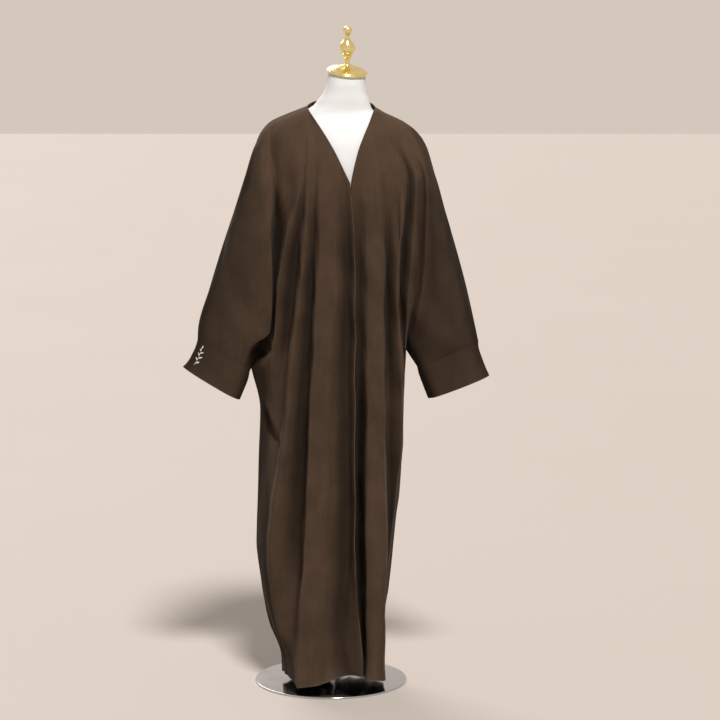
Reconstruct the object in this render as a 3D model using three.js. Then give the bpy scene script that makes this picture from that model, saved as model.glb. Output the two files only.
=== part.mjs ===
// An open-front abaya on a limbless dress form with a floor stand.
// Millimetres, +Z up. The front faces -Y and the wearer's right side lies toward -X.
// The origin is the centre of the floor plate's underside.
import * as THREE from 'three';

// ---- driving dimensions ----
const PLATE_RADIUS = 183;
const PLATE_THICKNESS = 5;
const PLATE_EDGE_ROUNDING = 1.2;
const PLATE_SIDES = 72;
const SOCKET_RADIUS = 24;
const SOCKET_HEIGHT = 34;
const SOCKET_SIDES = 32;
const POLE_RADIUS = 12.5;
const POLE_SIDES = 24;
const STAND_LEAN = 0.0195; // sideways run of the pole for each unit of height
const TOUCH_GAP = 0.3; // gap between pieces that rest on each other

const CLOTH_THICKNESS = 1.6;
const SEAM_SETBACK = 0.2; // each panel stops this far short of the seam line
const BODY_FOLD_STEPS = 3; // facets between two neighbouring fold lines of the body
const SLEEVE_FOLD_STEPS = 2;
const UPPER_ROWS = 10; // rows of facets from the shoulder to the armpit
const UPPER_ROW_GROWTH = 1.6; // the rows lie closer together over the shoulder
const LOWER_ROWS = 9; // rows of facets from the armpit to the hem
const CUFF_ROWS = 2;
const CUFF_FLARE = 1.6; // the cuff's outer corner spreads mostly near its hem
const OPENING_END_HEIGHT = 790; // height of the last upper row at the front opening

const NECK_COLUMN = 6; // fold line that ends at the shoulder point of the neckline
const SIDE_COLUMN = 9; // fold line that becomes the side seam below the armpit
const UNDERARM_COLUMN = 10; // fold line that ends at the inner corner of the cuff
const LAST_COLUMN = 14; // fold line along the top of the arm

// Heights that the body's fold tables are read at. The last entry of a row is its hem.
const LEVELS = [1312, 1209, 1053, 959, 858, 759, 664, 557, 454, 353, 244, 147, 62];
// Heights that the sleeves' fold tables are read at.
const SLEEVE_LEVELS = [1290, 1209, 1133, 1053, 957, 856, 826];

// One row for each fold line, from the front opening outward: its top end, its hem height,
// then its x and its y at every level and at the hem.
const FRONT_RIGHT_FOLDS = [
  { name: 'opening edge', top: [47, -111, 1209], hem: 41,
    x: [47, 47, 57, 59, 59, 59, 59, 59, 59, 58, 61, 69, 75, 75],
    y: [-111, -111, -117, -118, -119, -121, -122, -123, -124, -126, -128, -130, -132, -133] },
  { name: 'opening trough', top: [31, -105, 1242], hem: 34,
    x: [31, 33, 42, 42, 41, 41, 42, 43, 44, 43, 34, 24, 28, 38],
    y: [-105, -105, -96, -92, -89, -87, -86, -86, -86, -86, -87, -88, -92, -96] },
  { name: 'centre fold, inner end', top: [14, -97, 1278], hem: 21,
    x: [14, 15, 14, 12, 6, 0, -4, -7, -9, -11, -16, -26, -30, -28],
    y: [-97, -111, -120, -121, -120, -119, -119, -119, -119, -120, -122, -124, -127, -130] },
  { name: 'centre fold crest', top: [-7, -87, 1314], hem: 17,
    x: [-9, -20, -23, -30, -34, -40, -45, -50, -55, -60, -67, -75, -80, -79],
    y: [-88, -111, -127, -131, -132, -133, -134, -135, -136, -138, -140, -142, -144, -145] },
  { name: 'centre trough', top: [-28, -72, 1346], hem: 23,
    x: [-30, -32, -38, -43, -48, -54, -59, -65, -71, -76, -83, -90, -95, -95],
    y: [-84, -103, -93, -88, -86, -84, -81, -78, -76, -75, -77, -82, -88, -92] },
  { name: 'second fold crest', top: [-46, -47, 1371], hem: 26,
    x: [-48, -50, -60, -70, -82, -94, -101, -115, -129, -142, -137, -124, -104, -104],
    y: [-83, -105, -118, -121, -121, -119, -116, -110, -106, -98, -84, -70, -64, -62] },
  { name: 'second trough', top: [-54, -3, 1385], hem: 27,
    x: [-58, -60, -76, -87, -99, -108, -112, -126, -141, -153, -147, -131, -109, -109],
    y: [-80, -96, -83, -75, -72, -72, -70, -62, -56, -54, -54, -53, -52, -52] },
  { name: 'side fold crest', top: [-80, 0, 1375], hem: 27,
    x: [-78, -72, -108, -121, -128, -141, -136, -146, -156, -164, -154, -136, -113, -112],
    y: [-77, -99, -112, -110, -100, -76, -50, -38, -34, -34, -40, -44, -42, -40] },
  { name: 'side fold back', top: [-103, 0, 1366], hem: 25,
    x: [-101, -90, -114, -124, -130, -164, -155, -162, -168, -172, -160, -140, -115, -115],
    y: [-71, -84, -72, -62, -56, -34, -22, -12, -10, -12, -18, -20, -19, -18] },
];

const FRONT_LEFT_FOLDS = [
  { name: 'opening edge', top: [51, -111, 1207], hem: 30,
    x: [51, 51, 51, 51, 52, 53, 54, 54, 54, 54, 57, 65, 73, 74],
    y: [-111, -108, -95, -91, -89, -84, -66, -52, -46, -46, -50, -60, -74, -80] },
  { name: 'opening trough', top: [58, -104, 1248], hem: 27,
    x: [58, 62, 68, 70, 70, 70, 70, 69, 68, 68, 71, 76, 80, 81],
    y: [-104, -106, -93, -88, -86, -82, -66, -52, -46, -46, -50, -60, -74, -82] },
  { name: 'centre fold, inner crest', top: [67, -96, 1284], hem: 30,
    x: [67, 76, 86, 88, 88, 87, 87, 87, 85, 85, 83, 86, 87, 87],
    y: [-96, -107, -111, -113, -114, -114, -114, -114, -114, -114, -114, -115, -117, -119] },
  { name: 'centre fold face', top: [78, -86, 1314], hem: 31,
    x: [80, 98, 104, 106, 107, 107, 107, 107, 107, 107, 105, 105, 105, 105],
    y: [-87, -106, -113, -115, -116, -117, -118, -119, -120, -122, -124, -126, -128, -129] },
  { name: 'centre fold, outer crest', top: [90, -71, 1343], hem: 26,
    x: [95, 116, 119, 121, 122, 124, 127, 127, 129, 130, 127, 124, 124, 124],
    y: [-84, -103, -110, -112, -114, -115, -115, -115, -114, -113, -112, -112, -112, -112] },
  { name: 'centre trough', top: [100, -48, 1368], hem: 21,
    x: [107, 133, 133, 132, 132, 134, 135, 136, 137, 139, 131, 127, 127, 127],
    y: [-82, -86, -72, -67, -66, -64, -60, -54, -50, -50, -58, -70, -77, -80] },
  { name: 'side fold crest', top: [107, -3, 1382], hem: 20,
    x: [128, 173, 163, 158, 163, 169, 169, 163, 153, 144, 134, 128, 128, 128],
    y: [-76, -78, -95, -98, -92, -80, -66, -54, -48, -46, -50, -54, -57, -58] },
  { name: 'side trough', top: [129, 0, 1369], hem: 19,
    x: [147, 184, 171, 164, 168, 174, 172, 166, 156, 147, 136, 128, 128, 128],
    y: [-68, -56, -46, -38, -36, -36, -34, -30, -28, -26, -32, -36, -38, -40] },
  { name: 'side fold back', top: [149, 0, 1360], hem: 18,
    x: [165, 202, 194, 185, 180, 177, 173, 168, 159, 149, 138, 128, 128, 128],
    y: [-62, -70, -74, -68, -50, -26, -18, -14, -12, -10, -14, -16, -18, -18] },
];

// The back's fold lines, from the centre outward: share of the way to the side, and how far
// the cloth stands off its smooth section at every level and at the hem. Right half, left half.
const BACK_RIGHT_FOLDS = [
  { name: 'centre back', share: 0,
    relief: [0, 0, 0, -3, -5, -7, -11, -13, -14, -13, -11, -9, -8, -8] },
  { name: 'first crest', share: 0.15,
    relief: [0, 0, 3, 6, 8, 9, 8, 7, 6, 5, 6, 7, 8, 8] },
  { name: 'first trough', share: 0.27,
    relief: [0, 0, -3, -6, -8, -9, -11, -12, -12, -11, -12, -14, -15, -15] },
  { name: 'second crest', share: 0.42,
    relief: [0, 0, 3, 7, 10, 13, 15, 16, 16, 15, 14, 13, 12, 12] },
  { name: 'second trough', share: 0.55,
    relief: [0, 0, -3, -7, -11, -15, -24, -29, -30, -30, -27, -24, -22, -22] },
  { name: 'third crest', share: 0.66,
    relief: [0, 0, 2, 3, 4, 4, 3, 0, -3, -5, -5, -4, -3, -3] },
  { name: 'third trough', share: 0.75,
    relief: [0, 0, -3, -8, -12, -14, -15, -15, -14, -13, -12, -11, -10, -10] },
  { name: 'side crest', share: 0.86,
    relief: [0, 0, 2, 5, 8, 10, 12, 13, 13, 12, 11, 10, 9, 9] },
  { name: 'side fold back', share: 0.94,
    relief: [0, 0, 0, 0, 2, 3, 3, 3, 3, 3, 3, 3, 3, 3] },
];
const BACK_LEFT_FOLDS = [
  { name: 'centre back', share: 0,
    relief: [0, 0, 0, -3, -5, -7, -11, -13, -14, -13, -11, -9, -8, -8] },
  { name: 'first crest', share: 0.11,
    relief: [0, 0, 2, 4, 6, 8, 10, 11, 11, 10, 9, 8, 8, 8] },
  { name: 'first trough', share: 0.22,
    relief: [0, 0, -3, -6, -9, -13, -19, -23, -25, -25, -24, -22, -20, -20] },
  { name: 'second crest', share: 0.35,
    relief: [0, 0, 2, 5, 7, 8, 8, 7, 5, 3, 2, 2, 2, 2] },
  { name: 'second trough', share: 0.5,
    relief: [0, 0, -3, -6, -8, -9, -10, -10, -10, -11, -12, -13, -13, -13] },
  { name: 'third crest', share: 0.63,
    relief: [0, 0, 4, 8, 11, 13, 15, 16, 16, 15, 13, 12, 11, 11] },
  { name: 'third trough', share: 0.75,
    relief: [0, 0, -3, -8, -12, -16, -22, -24, -24, -22, -19, -16, -15, -15] },
  { name: 'side crest', share: 0.85,
    relief: [0, 0, 2, 4, 5, 6, 6, 6, 6, 7, 7, 7, 6, 6] },
  { name: 'side fold back', share: 0.94,
    relief: [0, 0, 0, 0, 2, 3, 3, 3, 3, 3, 3, 3, 3, 3] },
];
// Depth of the back's smooth section at every level and at the hem.
const BACK_DEPTH = [92, 101, 98, 100, 106, 110, 112, 113, 114, 115, 116, 117, 118, 118];
const BACK_SECTION_POWER = 2.5;
const BACK_HEM = 34;
// Top ends of the back's fold lines along the neckline and the shoulder, right half and left half.
const BACK_RIGHT_TOPS = [
  [28, 58, 1398], [10, 57, 1399], [-8, 53, 1399], [-24, 45, 1398], [-38, 33, 1395], [-48, 16, 1390],
];
const BACK_LEFT_TOPS = [
  [28, 58, 1398], [46, 57, 1399], [63, 53, 1398], [79, 45, 1397], [92, 33, 1394], [102, 16, 1388],
];

// The hollow between body and sleeve, which ends at the armpit and goes on as the side seam.
const RIGHT_SIDE = {
  top: [-122, 0, 1358],
  armpit: [-189, 0, 765],
  hollow: {
    x: [-123, -110, -120, -131, -142], front: [-58, -70, -40, -28, -22], back: [62, 76, 54, 44, 32],
  },
  seam: { x: [-168, -172, -175, -178, -167, -148, -120, -118], y: [4, 6, 8, 8, 6, 4, 2, 0], hem: 24 },
};
const LEFT_SIDE = {
  top: [168, 0, 1351],
  armpit: [176, 0, 815],
  hollow: { x: [180, 217, 213, 204, 186], front: [-52, -54, -50, -44, -26], back: [58, 60, 46, 38, 22] },
  seam: { x: [174, 169, 161, 152, 141, 127, 127, 127], y: [4, 6, 8, 8, 6, 4, 2, 0], hem: 22 },
};

// One row for each fold line of a sleeve, from the armpit outward to the top of the arm.
const RIGHT_SLEEVE_FOLDS = [
  { name: 'inner face', top: [-136, 0, 1351], end: [-193, 0, 757],
    x: [-138, -127, -129, -135, -140, -148, -169],
    front: [-44, -54, -42, -30, -25, -20, -10], back: [46, 56, 52, 47, 42, 32, 22], endDepth: 0 },
  { name: 'inner crest', top: [-148, 0, 1342], end: [-207, 0, 771],
    x: [-147, -138, -137, -137, -135, -140, -176],
    front: [-42, -66, -76, -82, -80, -68, -56], back: [44, 64, 68, 70, 68, 60, 50], endDepth: 34 },
  { name: 'broad face', top: [-159, 0, 1329], end: [-246, 0, 794],
    x: [-162, -170, -180, -190, -201, -216, -228],
    front: [-34, -54, -62, -63, -58, -52, -48], back: [34, 50, 58, 64, 64, 58, 52], endDepth: 42 },
  { name: 'outer face', top: [-168, 0, 1314], end: [-290, 0, 820],
    x: [-171, -189, -212, -234, -256, -280, -288],
    front: [-22, -30, -38, -40, -38, -34, -31], back: [22, 28, 34, 38, 38, 34, 32], endDepth: 30 },
  { name: 'top of the arm', top: [-175, 0, 1296], end: [-316, 0, 835],
    x: [-177, -204, -229, -256, -286, -315, -316],
    front: [0, 0, 0, 0, 0, 0, 0], back: [0, 0, 0, 0, 0, 0, 0], endDepth: 0 },
];
const LEFT_SLEEVE_FOLDS = [
  { name: 'inner crest', top: [184, 0, 1341], end: [207, 0, 768],
    x: [205, 226, 226, 224, 217, 200, 190],
    front: [-42, -62, -68, -69, -60, -38, -24], back: [44, 58, 62, 62, 54, 36, 24], endDepth: 0 },
  { name: 'inner groove', top: [196, 0, 1332], end: [222, 0, 774],
    x: [214, 234, 236, 236, 232, 220, 213],
    front: [-37, -56, -62, -62, -57, -46, -40], back: [38, 50, 54, 56, 52, 44, 38], endDepth: 32 },
  { name: 'broad face', top: [206, 0, 1322], end: [252, 0, 786],
    x: [220, 241, 248, 254, 257, 253, 249],
    front: [-31, -50, -60, -64, -63, -55, -50], back: [32, 48, 58, 64, 66, 58, 52], endDepth: 42 },
  { name: 'outer face', top: [216, 0, 1310], end: [310, 0, 810],
    x: [224, 246, 261, 278, 295, 310, 311],
    front: [-21, -33, -41, -45, -45, -41, -37], back: [22, 32, 38, 42, 44, 40, 36], endDepth: 32 },
  { name: 'top of the arm', top: [224, 0, 1296], end: [352, 0, 828],
    x: [226, 251, 273, 297, 323, 346, 352],
    front: [0, 0, 0, 0, 0, 0, 0], back: [0, 0, 0, 0, 0, 0, 0], endDepth: 0 },
];
// Cuff hems, as the corner next to the body and the outer corner.
const RIGHT_CUFF_HEM = { inner: [-217, 688], outer: [-355, 768] };
const LEFT_CUFF_HEM = { inner: [233, 691], outer: [377, 744] };

// The form's level sections, from the bottom up: centre, half width, front and back depth.
const TORSO_SECTIONS = [
  { z: 745, centre: 14.5, half: 146, front: 74, back: 86 },
  { z: 752, centre: 14.7, half: 152, front: 79, back: 91 },
  { z: 830, centre: 16.2, half: 156, front: 82, back: 95 },
  { z: 920, centre: 18, half: 145, front: 80, back: 84 },
  { z: 1010, centre: 19.7, half: 118, front: 75, back: 66 },
  { z: 1090, centre: 21.3, half: 131, front: 89, back: 74 },
  { z: 1170, centre: 22.8, half: 151, front: 102, back: 84 },
  { z: 1225, centre: 23.9, half: 164, front: 99, back: 89 },
  { z: 1290, centre: 25, half: 171, front: 87, back: 90 },
  { z: 1322, centre: 22, half: 163.2, front: 75.5, back: 81.2 },
  { z: 1344, centre: 19, half: 149.6, front: 64.1, back: 66.6 },
  { z: 1360, centre: 16, half: 119, front: 50, back: 52.6 },
  { z: 1373, centre: 19, half: 86.5, front: 46, back: 48.5 },
  { z: 1384, centre: 27, half: 71, front: 46, back: 50 },
  { z: 1398, centre: 31, half: 62, front: 46, back: 50 },
  { z: 1414, centre: 34.5, half: 52.5, front: 45, back: 47 },
  { z: 1434, centre: 37, half: 46, front: 45, back: 45 },
];
const TORSO_POWER = 2.3;
const TORSO_SIDES = 32;

const NECK_TOP = { x: 40.5, z: 1463.5 }; // centre of the neck's slanted top
const NECK_RADIUS = 44;
const NECK_PITCH = THREE.MathUtils.degToRad(15); // the top slopes down toward the front
const NECK_ROLL = THREE.MathUtils.degToRad(6.5); // and down toward +X
const CAP_RADIUS = 48;
// Outline of cap and finial: radius and height above the neck's top.
const FINIAL_OUTLINE = [
  [CAP_RADIUS, 0], [CAP_RADIUS, 4], [44, 7], [34, 11.5], [20, 15.5], [9, 18], [6, 21], [5.5, 34],
  [9, 38], [12, 41], [9, 44.5], [15, 49], [18.5, 57], [18.5, 63], [14.5, 71], [8.5, 78],
  [5.5, 83], [5.5, 89],
];
const BALL_RADIUS = 10.5;
const BALL_CENTRE_HEIGHT = 101.5;
const BALL_NECK_RADIUS = 7.5; // the ball's outline starts at this radius
const BALL_STEPS = 6;
const FINIAL_SIDES = 24;
const FINIAL_LEAN_BACK = 0.1; // it stands nearly upright on the slanted cap: shift to -X by height

const CLOTH_COLOUR = 0x4a3a2e;
const COVER_COLOUR = 0xeceded;
const BRASS_COLOUR = 0xc9a24a;
const CHROME_COLOUR = 0xb9b9b6;

// ---- curves ----

// Smooth curve through the knots that never overshoots them (monotone cubic), read at `at`.
function readCurve(knots, values, at) {
  const last = knots.length - 1;
  let i = 0;
  while (i < last - 1 && at < knots[i + 1]) i += 1;
  const slope = (k) => (values[k + 1] - values[k]) / (knots[k + 1] - knots[k]);
  const tangent = (k) => {
    if (k === 0) return slope(0);
    if (k === last) return slope(last - 1);
    const before = slope(k - 1);
    const after = slope(k);
    return before * after <= 0 ? 0 : (2 * before * after) / (before + after);
  };
  const span = knots[i + 1] - knots[i];
  const t = THREE.MathUtils.clamp((at - knots[i]) / span, 0, 1);
  const t2 = t * t;
  const t3 = t2 * t;
  return (2 * t3 - 3 * t2 + 1) * values[i] + (t3 - 2 * t2 + t) * span * tangent(i)
    + (3 * t2 - 2 * t3) * values[i + 1] + (t3 - t2) * span * tangent(i + 1);
}

// A path down the cloth: points from the top end to the hem, read by height.
function pathReader(points) {
  const heights = points.map((p) => p[2]);
  return (z) => new THREE.Vector3(
    readCurve(heights, points.map((p) => p[0]), z), readCurve(heights, points.map((p) => p[1]), z), z);
}

// Points on a spline through `points[from..to]`, with `steps` facets in each interval.
function splineRow(points, from, to, steps, pastStart, pastEnd) {
  const at = (k) => {
    if (k < from) return pastStart ?? points[from].clone().multiplyScalar(2).sub(points[from + 1]);
    if (k > to) return pastEnd ?? points[to].clone().multiplyScalar(2).sub(points[to - 1]);
    return points[k];
  };
  const row = [points[from].clone()];
  for (let k = from; k < to; k += 1) {
    const [a, b, c, d] = [at(k - 1), at(k), at(k + 1), at(k + 2)];
    for (let s = 1; s <= steps(k); s += 1) {
      const t = s / steps(k);
      const blend = (axis) => 0.5 * (2 * b[axis] + (c[axis] - a[axis]) * t
        + (2 * a[axis] - 5 * b[axis] + 4 * c[axis] - d[axis]) * t * t
        + (3 * b[axis] - a[axis] - 3 * c[axis] + d[axis]) * t * t * t);
      row.push(new THREE.Vector3(blend('x'), blend('y'), blend('z')));
    }
  }
  return row;
}

const foldSteps = (k) => (k < SIDE_COLUMN ? BODY_FOLD_STEPS : SLEEVE_FOLD_STEPS);

// ---- fold lines of the garment ----

const MIN_KNOT_DROP = 20; // a level closer than this to a fold's top end is left out
const MIN_KNOT_RISE = 10; // and so is one closer than this to its lower end
const SHOULDER_DROP = 12; // the cloth rolls over the shoulder within this drop
const SHOULDER_REACH = 0.55; // share of the depth at the next level that it gains there
const SHOULDER_RUN = 0.2; // share of the sideways run to the next level that it makes there
const NECKLINE_DEPTH = 5; // a fold that starts farther from the shoulder line starts at the neckline

// The shoulder seam rides on the form, and the cloth turns down from it in a round roll.
function withShoulderRoll(points) {
  const [top, next] = points;
  if (Math.abs(top[1]) > NECKLINE_DEPTH) return points;
  const rollX = THREE.MathUtils.lerp(top[0], next[0], SHOULDER_RUN);
  return [top, [rollX, next[1] * SHOULDER_REACH, top[2] - SHOULDER_DROP], ...points.slice(1)];
}

function pathDownFold(top, levels, xs, ys, end) {
  const points = [top];
  levels.forEach((z, i) => {
    if (z < top[2] - MIN_KNOT_DROP && z > end[2] + MIN_KNOT_RISE) points.push([xs[i], ys[i], z]);
  });
  points.push(end);
  return pathReader(withShoulderRoll(points));
}

function frontFold(fold) {
  const end = [fold.x[LEVELS.length], fold.y[LEVELS.length], fold.hem];
  return { top: fold.top[2], end: fold.hem, read: pathDownFold(fold.top, LEVELS, fold.x, fold.y, end) };
}

function sideFold(side, face) {
  const hollow = side.hollow.x.map((x, i) => [x, side.hollow[face][i], LEVELS[i]]);
  const seamLevels = LEVELS.slice(hollow.length + 1);
  const seam = seamLevels.map((z, i) => [side.seam.x[i], side.seam.y[i], z]);
  const last = seamLevels.length;
  const hem = [side.seam.x[last], side.seam.y[last], side.seam.hem];
  const readHollow = pathReader(withShoulderRoll([side.top, ...hollow, side.armpit]));
  const readSeam = pathReader([side.armpit, ...seam, hem]);
  return {
    top: side.top[2], end: side.seam.hem,
    read: (z) => (z > side.armpit[2] ? readHollow(z) : readSeam(z)),
  };
}

// A back fold lies on a rounded section between the centre back and the side's fold line.
function backFold(fold, top, side) {
  const z = [...LEVELS, BACK_HEM];
  const points = z.map((level, i) => {
    const centre = STAND_LEAN * level;
    const edge = side.read(level);
    const rise = (1 - fold.share ** BACK_SECTION_POWER) ** (1 / BACK_SECTION_POWER);
    const y = edge.y + (BACK_DEPTH[i] - edge.y) * rise + fold.relief[i];
    return [centre + (edge.x - centre) * fold.share, y, level];
  });
  return { top: top[2], end: BACK_HEM, read: pathReader(withShoulderRoll([top, ...points])) };
}

function sleeveFold(fold, face) {
  const sign = face === 'front' ? -1 : 1;
  const end = [fold.end[0], sign * fold.endDepth, fold.end[2]];
  const read = pathDownFold(fold.top, SLEEVE_LEVELS, fold.x, fold[face], end);
  return { top: fold.top[2], end: end[2], read };
}

function backTops(neckTops, frontFolds) {
  return [...neckTops, ...frontFolds.slice(NECK_COLUMN).map((fold) => fold.top)];
}

// All fold lines of one quarter of the garment, centre to side, then side to top of the arm.
function quarterFolds(face, fronts, side, sleeve, back) {
  const sidePath = sideFold(side, face);
  const body = face === 'front'
    ? fronts.map(frontFold)
    : backTops(back.tops, fronts).map((top, k) => backFold(back.folds[k], top, sidePath));
  return [...body, sidePath, ...sleeve.map((fold) => sleeveFold(fold, face))];
}

// Points of every fold line on one row. Rows 0 to UPPER_ROWS run from the neckline and
// shoulder down to the armpit and cuff; the rest run down to the hem on the body alone.
function rowPoints(folds, row, armpitHeight) {
  return folds.map((fold, k) => {
    const turn = k <= SIDE_COLUMN
      ? THREE.MathUtils.lerp(OPENING_END_HEIGHT, armpitHeight, k / SIDE_COLUMN)
      : fold.end;
    const share = (row / UPPER_ROWS) ** UPPER_ROW_GROWTH;
    if (row <= UPPER_ROWS) return fold.read(THREE.MathUtils.lerp(fold.top, turn, share));
    if (k > SIDE_COLUMN) return null;
    return fold.read(THREE.MathUtils.lerp(turn, fold.end, (row - UPPER_ROWS) / LOWER_ROWS));
  });
}

// The fine points of one row. `facing` holds the same row on the other face of the garment,
// and `beside` the same row across the centre, so that the rounding goes on over the edge.
function fineRow(row, points, facing, beside) {
  const acrossCentre = beside?.[1];
  if (row === 0) {
    return [...splineRow(points, 0, NECK_COLUMN, foldSteps, acrossCentre),
      ...splineRow(points, NECK_COLUMN, LAST_COLUMN, foldSteps).slice(1)];
  }
  if (row < UPPER_ROWS) {
    return splineRow(points, 0, LAST_COLUMN, foldSteps, acrossCentre, facing[LAST_COLUMN - 1]);
  }
  if (row === UPPER_ROWS) {
    return [...splineRow(points, 0, SIDE_COLUMN, foldSteps, acrossCentre, facing[SIDE_COLUMN - 1]),
      ...splineRow(points, SIDE_COLUMN, UNDERARM_COLUMN, foldSteps).slice(1),
      ...cuffRow(points, facing).slice(1)];
  }
  return splineRow(points, 0, SIDE_COLUMN, foldSteps, acrossCentre, facing[SIDE_COLUMN - 1]);
}

function cuffRow(points, facing) {
  return splineRow(points, UNDERARM_COLUMN, LAST_COLUMN, foldSteps,
    facing[UNDERARM_COLUMN + 1], facing[LAST_COLUMN - 1]);
}

// Rings of a cuff from the sleeve's end to the cuff's hem, one face of it.
function cuffPoints(points, hem, share) {
  const [inner, outer] = [points[UNDERARM_COLUMN], points[LAST_COLUMN]];
  return points.map((point, k) => {
    if (k < UNDERARM_COLUMN) return null;
    const across = (point.x - inner.x) / (outer.x - inner.x);
    const hemX = THREE.MathUtils.lerp(hem.inner[0], hem.outer[0], across);
    const hemZ = THREE.MathUtils.lerp(hem.inner[1], hem.outer[1], across);
    const spread = share ** THREE.MathUtils.lerp(1, CUFF_FLARE, across);
    return new THREE.Vector3(
      THREE.MathUtils.lerp(point.x, hemX, spread), point.y, THREE.MathUtils.lerp(point.z, hemZ, share));
  });
}

function solidGeometry(vertices, faces) {
  const geometry = new THREE.BufferGeometry();
  const positions = vertices.flatMap((vertex) => vertex.toArray());
  geometry.setAttribute('position', new THREE.Float32BufferAttribute(positions, 3));
  geometry.setIndex(faces.flat());
  geometry.computeVertexNormals();
  return geometry;
}

// ---- cloth walls ----

const MAX_STRETCH = 1.6; // longest outward step at a sharp fold, in half thicknesses

// Points closer than a hundredth of a millimetre count as one.
const keyOf = (p) => p.toArray().map((value) => Math.round(value * 100) + 0).join();

// Quads of a patch, turned so that they face out of the garment.
function patchQuads(patch) {
  const quads = [];
  for (let r = 0; r + 1 < patch.rows.length; r += 1) {
    const [upper, lower] = [patch.rows[r], patch.rows[r + 1]];
    for (let c = 0; c + 1 < Math.min(upper.length, lower.length); c += 1) {
      const quad = [upper[c], upper[c + 1], lower[c + 1], lower[c]];
      quads.push(patch.mirrored ? [quad[0], quad[3], quad[2], quad[1]] : quad);
    }
  }
  return quads;
}

function quadNormal(quad) {
  const across = quad[2].clone().sub(quad[0]);
  const other = quad[3].clone().sub(quad[1]);
  return across.cross(other).multiplyScalar(0.5);
}

// Outward direction at every point of the garment, shared by all panels that meet there,
// long enough to keep the wall's thickness round a fold.
function sharedNormals(patches) {
  const found = new Map();
  for (const quad of patches.flatMap(patchQuads)) {
    const normal = quadNormal(quad);
    for (const point of quad) {
      const key = keyOf(point);
      if (!found.has(key)) found.set(key, []);
      found.get(key).push(normal);
    }
  }
  const normals = new Map();
  for (const [key, faces] of found) {
    const sum = faces.reduce((total, n) => total.add(n), new THREE.Vector3()).normalize();
    const agreement = faces.reduce((total, n) => total + n.clone().normalize().dot(sum), 0) / faces.length;
    normals.set(key, sum.multiplyScalar(1 / Math.max(agreement, 1 / MAX_STRETCH)));
  }
  return normals;
}

// The panels that own each point. Points that two or more panels share lie on a seam.
function panelsAtPoints(patches) {
  const owners = new Map();
  for (const patch of patches) {
    for (const point of patch.rows.flat()) {
      const key = keyOf(point);
      if (!owners.has(key)) owners.set(key, new Set());
      owners.get(key).add(patch.panel);
    }
  }
  return owners;
}

// How far a panel's own edge stops short of the seams that it shares at one point.
function seamShift(panel, owners) {
  const shift = new THREE.Vector3();
  for (const other of owners) {
    const cuff = PANEL_SIDES[panel].cuff ? panel : other;
    if (other === panel) continue;
    if (PANEL_SIDES[cuff].cuff) shift.addScaledVector(PANEL_SIDES[cuff].away, cuff === panel ? 1 : -1);
    else shift.add(PANEL_SIDES[panel].away);
  }
  return shift.multiplyScalar(SEAM_SETBACK);
}

// Direction in which each panel leaves its seams: front and back part along Y, and a cuff
// parts from its sleeve along the arm.
const PANEL_SIDES = {
  abaya_front_right: { away: new THREE.Vector3(0, -1, 0) },
  abaya_front_left: { away: new THREE.Vector3(0, -1, 0) },
  abaya_back: { away: new THREE.Vector3(0, 1, 0) },
  cuff_right: { away: new THREE.Vector3(-0.42, 0, -0.91), cuff: true },
  cuff_left: { away: new THREE.Vector3(0.3, 0, -0.95), cuff: true },
};

const joinsFrontAndBack = (owners) => [...owners].filter((panel) => !PANEL_SIDES[panel].cuff).length > 1;

// The closed wall of one panel: its outside, its inside, and a rim along every free edge.
function panelGeometry(panel, patches, normals, owners) {
  const index = new Map();
  const base = [];
  const offsets = [];
  const quads = [];
  for (const quad of patches.filter((patch) => patch.panel === panel).flatMap(patchQuads)) {
    quads.push(quad.map((point) => {
      const key = keyOf(point);
      if (!index.has(key)) {
        index.set(key, base.length);
        base.push(point.clone().add(seamShift(panel, owners.get(key))));
        const offset = normals.get(key).clone().multiplyScalar(CLOTH_THICKNESS / 2);
        offsets.push(joinsFrontAndBack(owners.get(key)) ? offset.setY(0) : offset);
      }
      return index.get(key);
    }));
  }
  const count = base.length;
  const outside = base.map((point, i) => point.clone().add(offsets[i]));
  const inside = base.map((point, i) => point.clone().sub(offsets[i]));
  const vertices = [...outside, ...inside];
  const faces = [];
  const free = new Map();
  for (const [a, b, c, d] of quads) {
    const split = base[a].distanceTo(base[c]) <= base[b].distanceTo(base[d])
      ? [[a, b, c], [a, c, d]] : [[b, c, d], [b, d, a]];
    for (const [p, q, r] of split) faces.push([p, q, r], [p + count, r + count, q + count]);
    for (const [p, q] of [[a, b], [b, c], [c, d], [d, a]]) {
      if (!free.delete(`${q}-${p}`)) free.set(`${p}-${q}`, [p, q]);
    }
  }
  for (const [p, q] of free.values()) {
    const fromUpper = base[p].z > base[q].z;
    const rim = fromUpper
      ? [[q, p, q + count], [p, p + count, q + count]] : [[q, p, p + count], [q, p + count, q + count]];
    faces.push(...rim);
  }
  return solidGeometry(vertices, faces);
}

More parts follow.
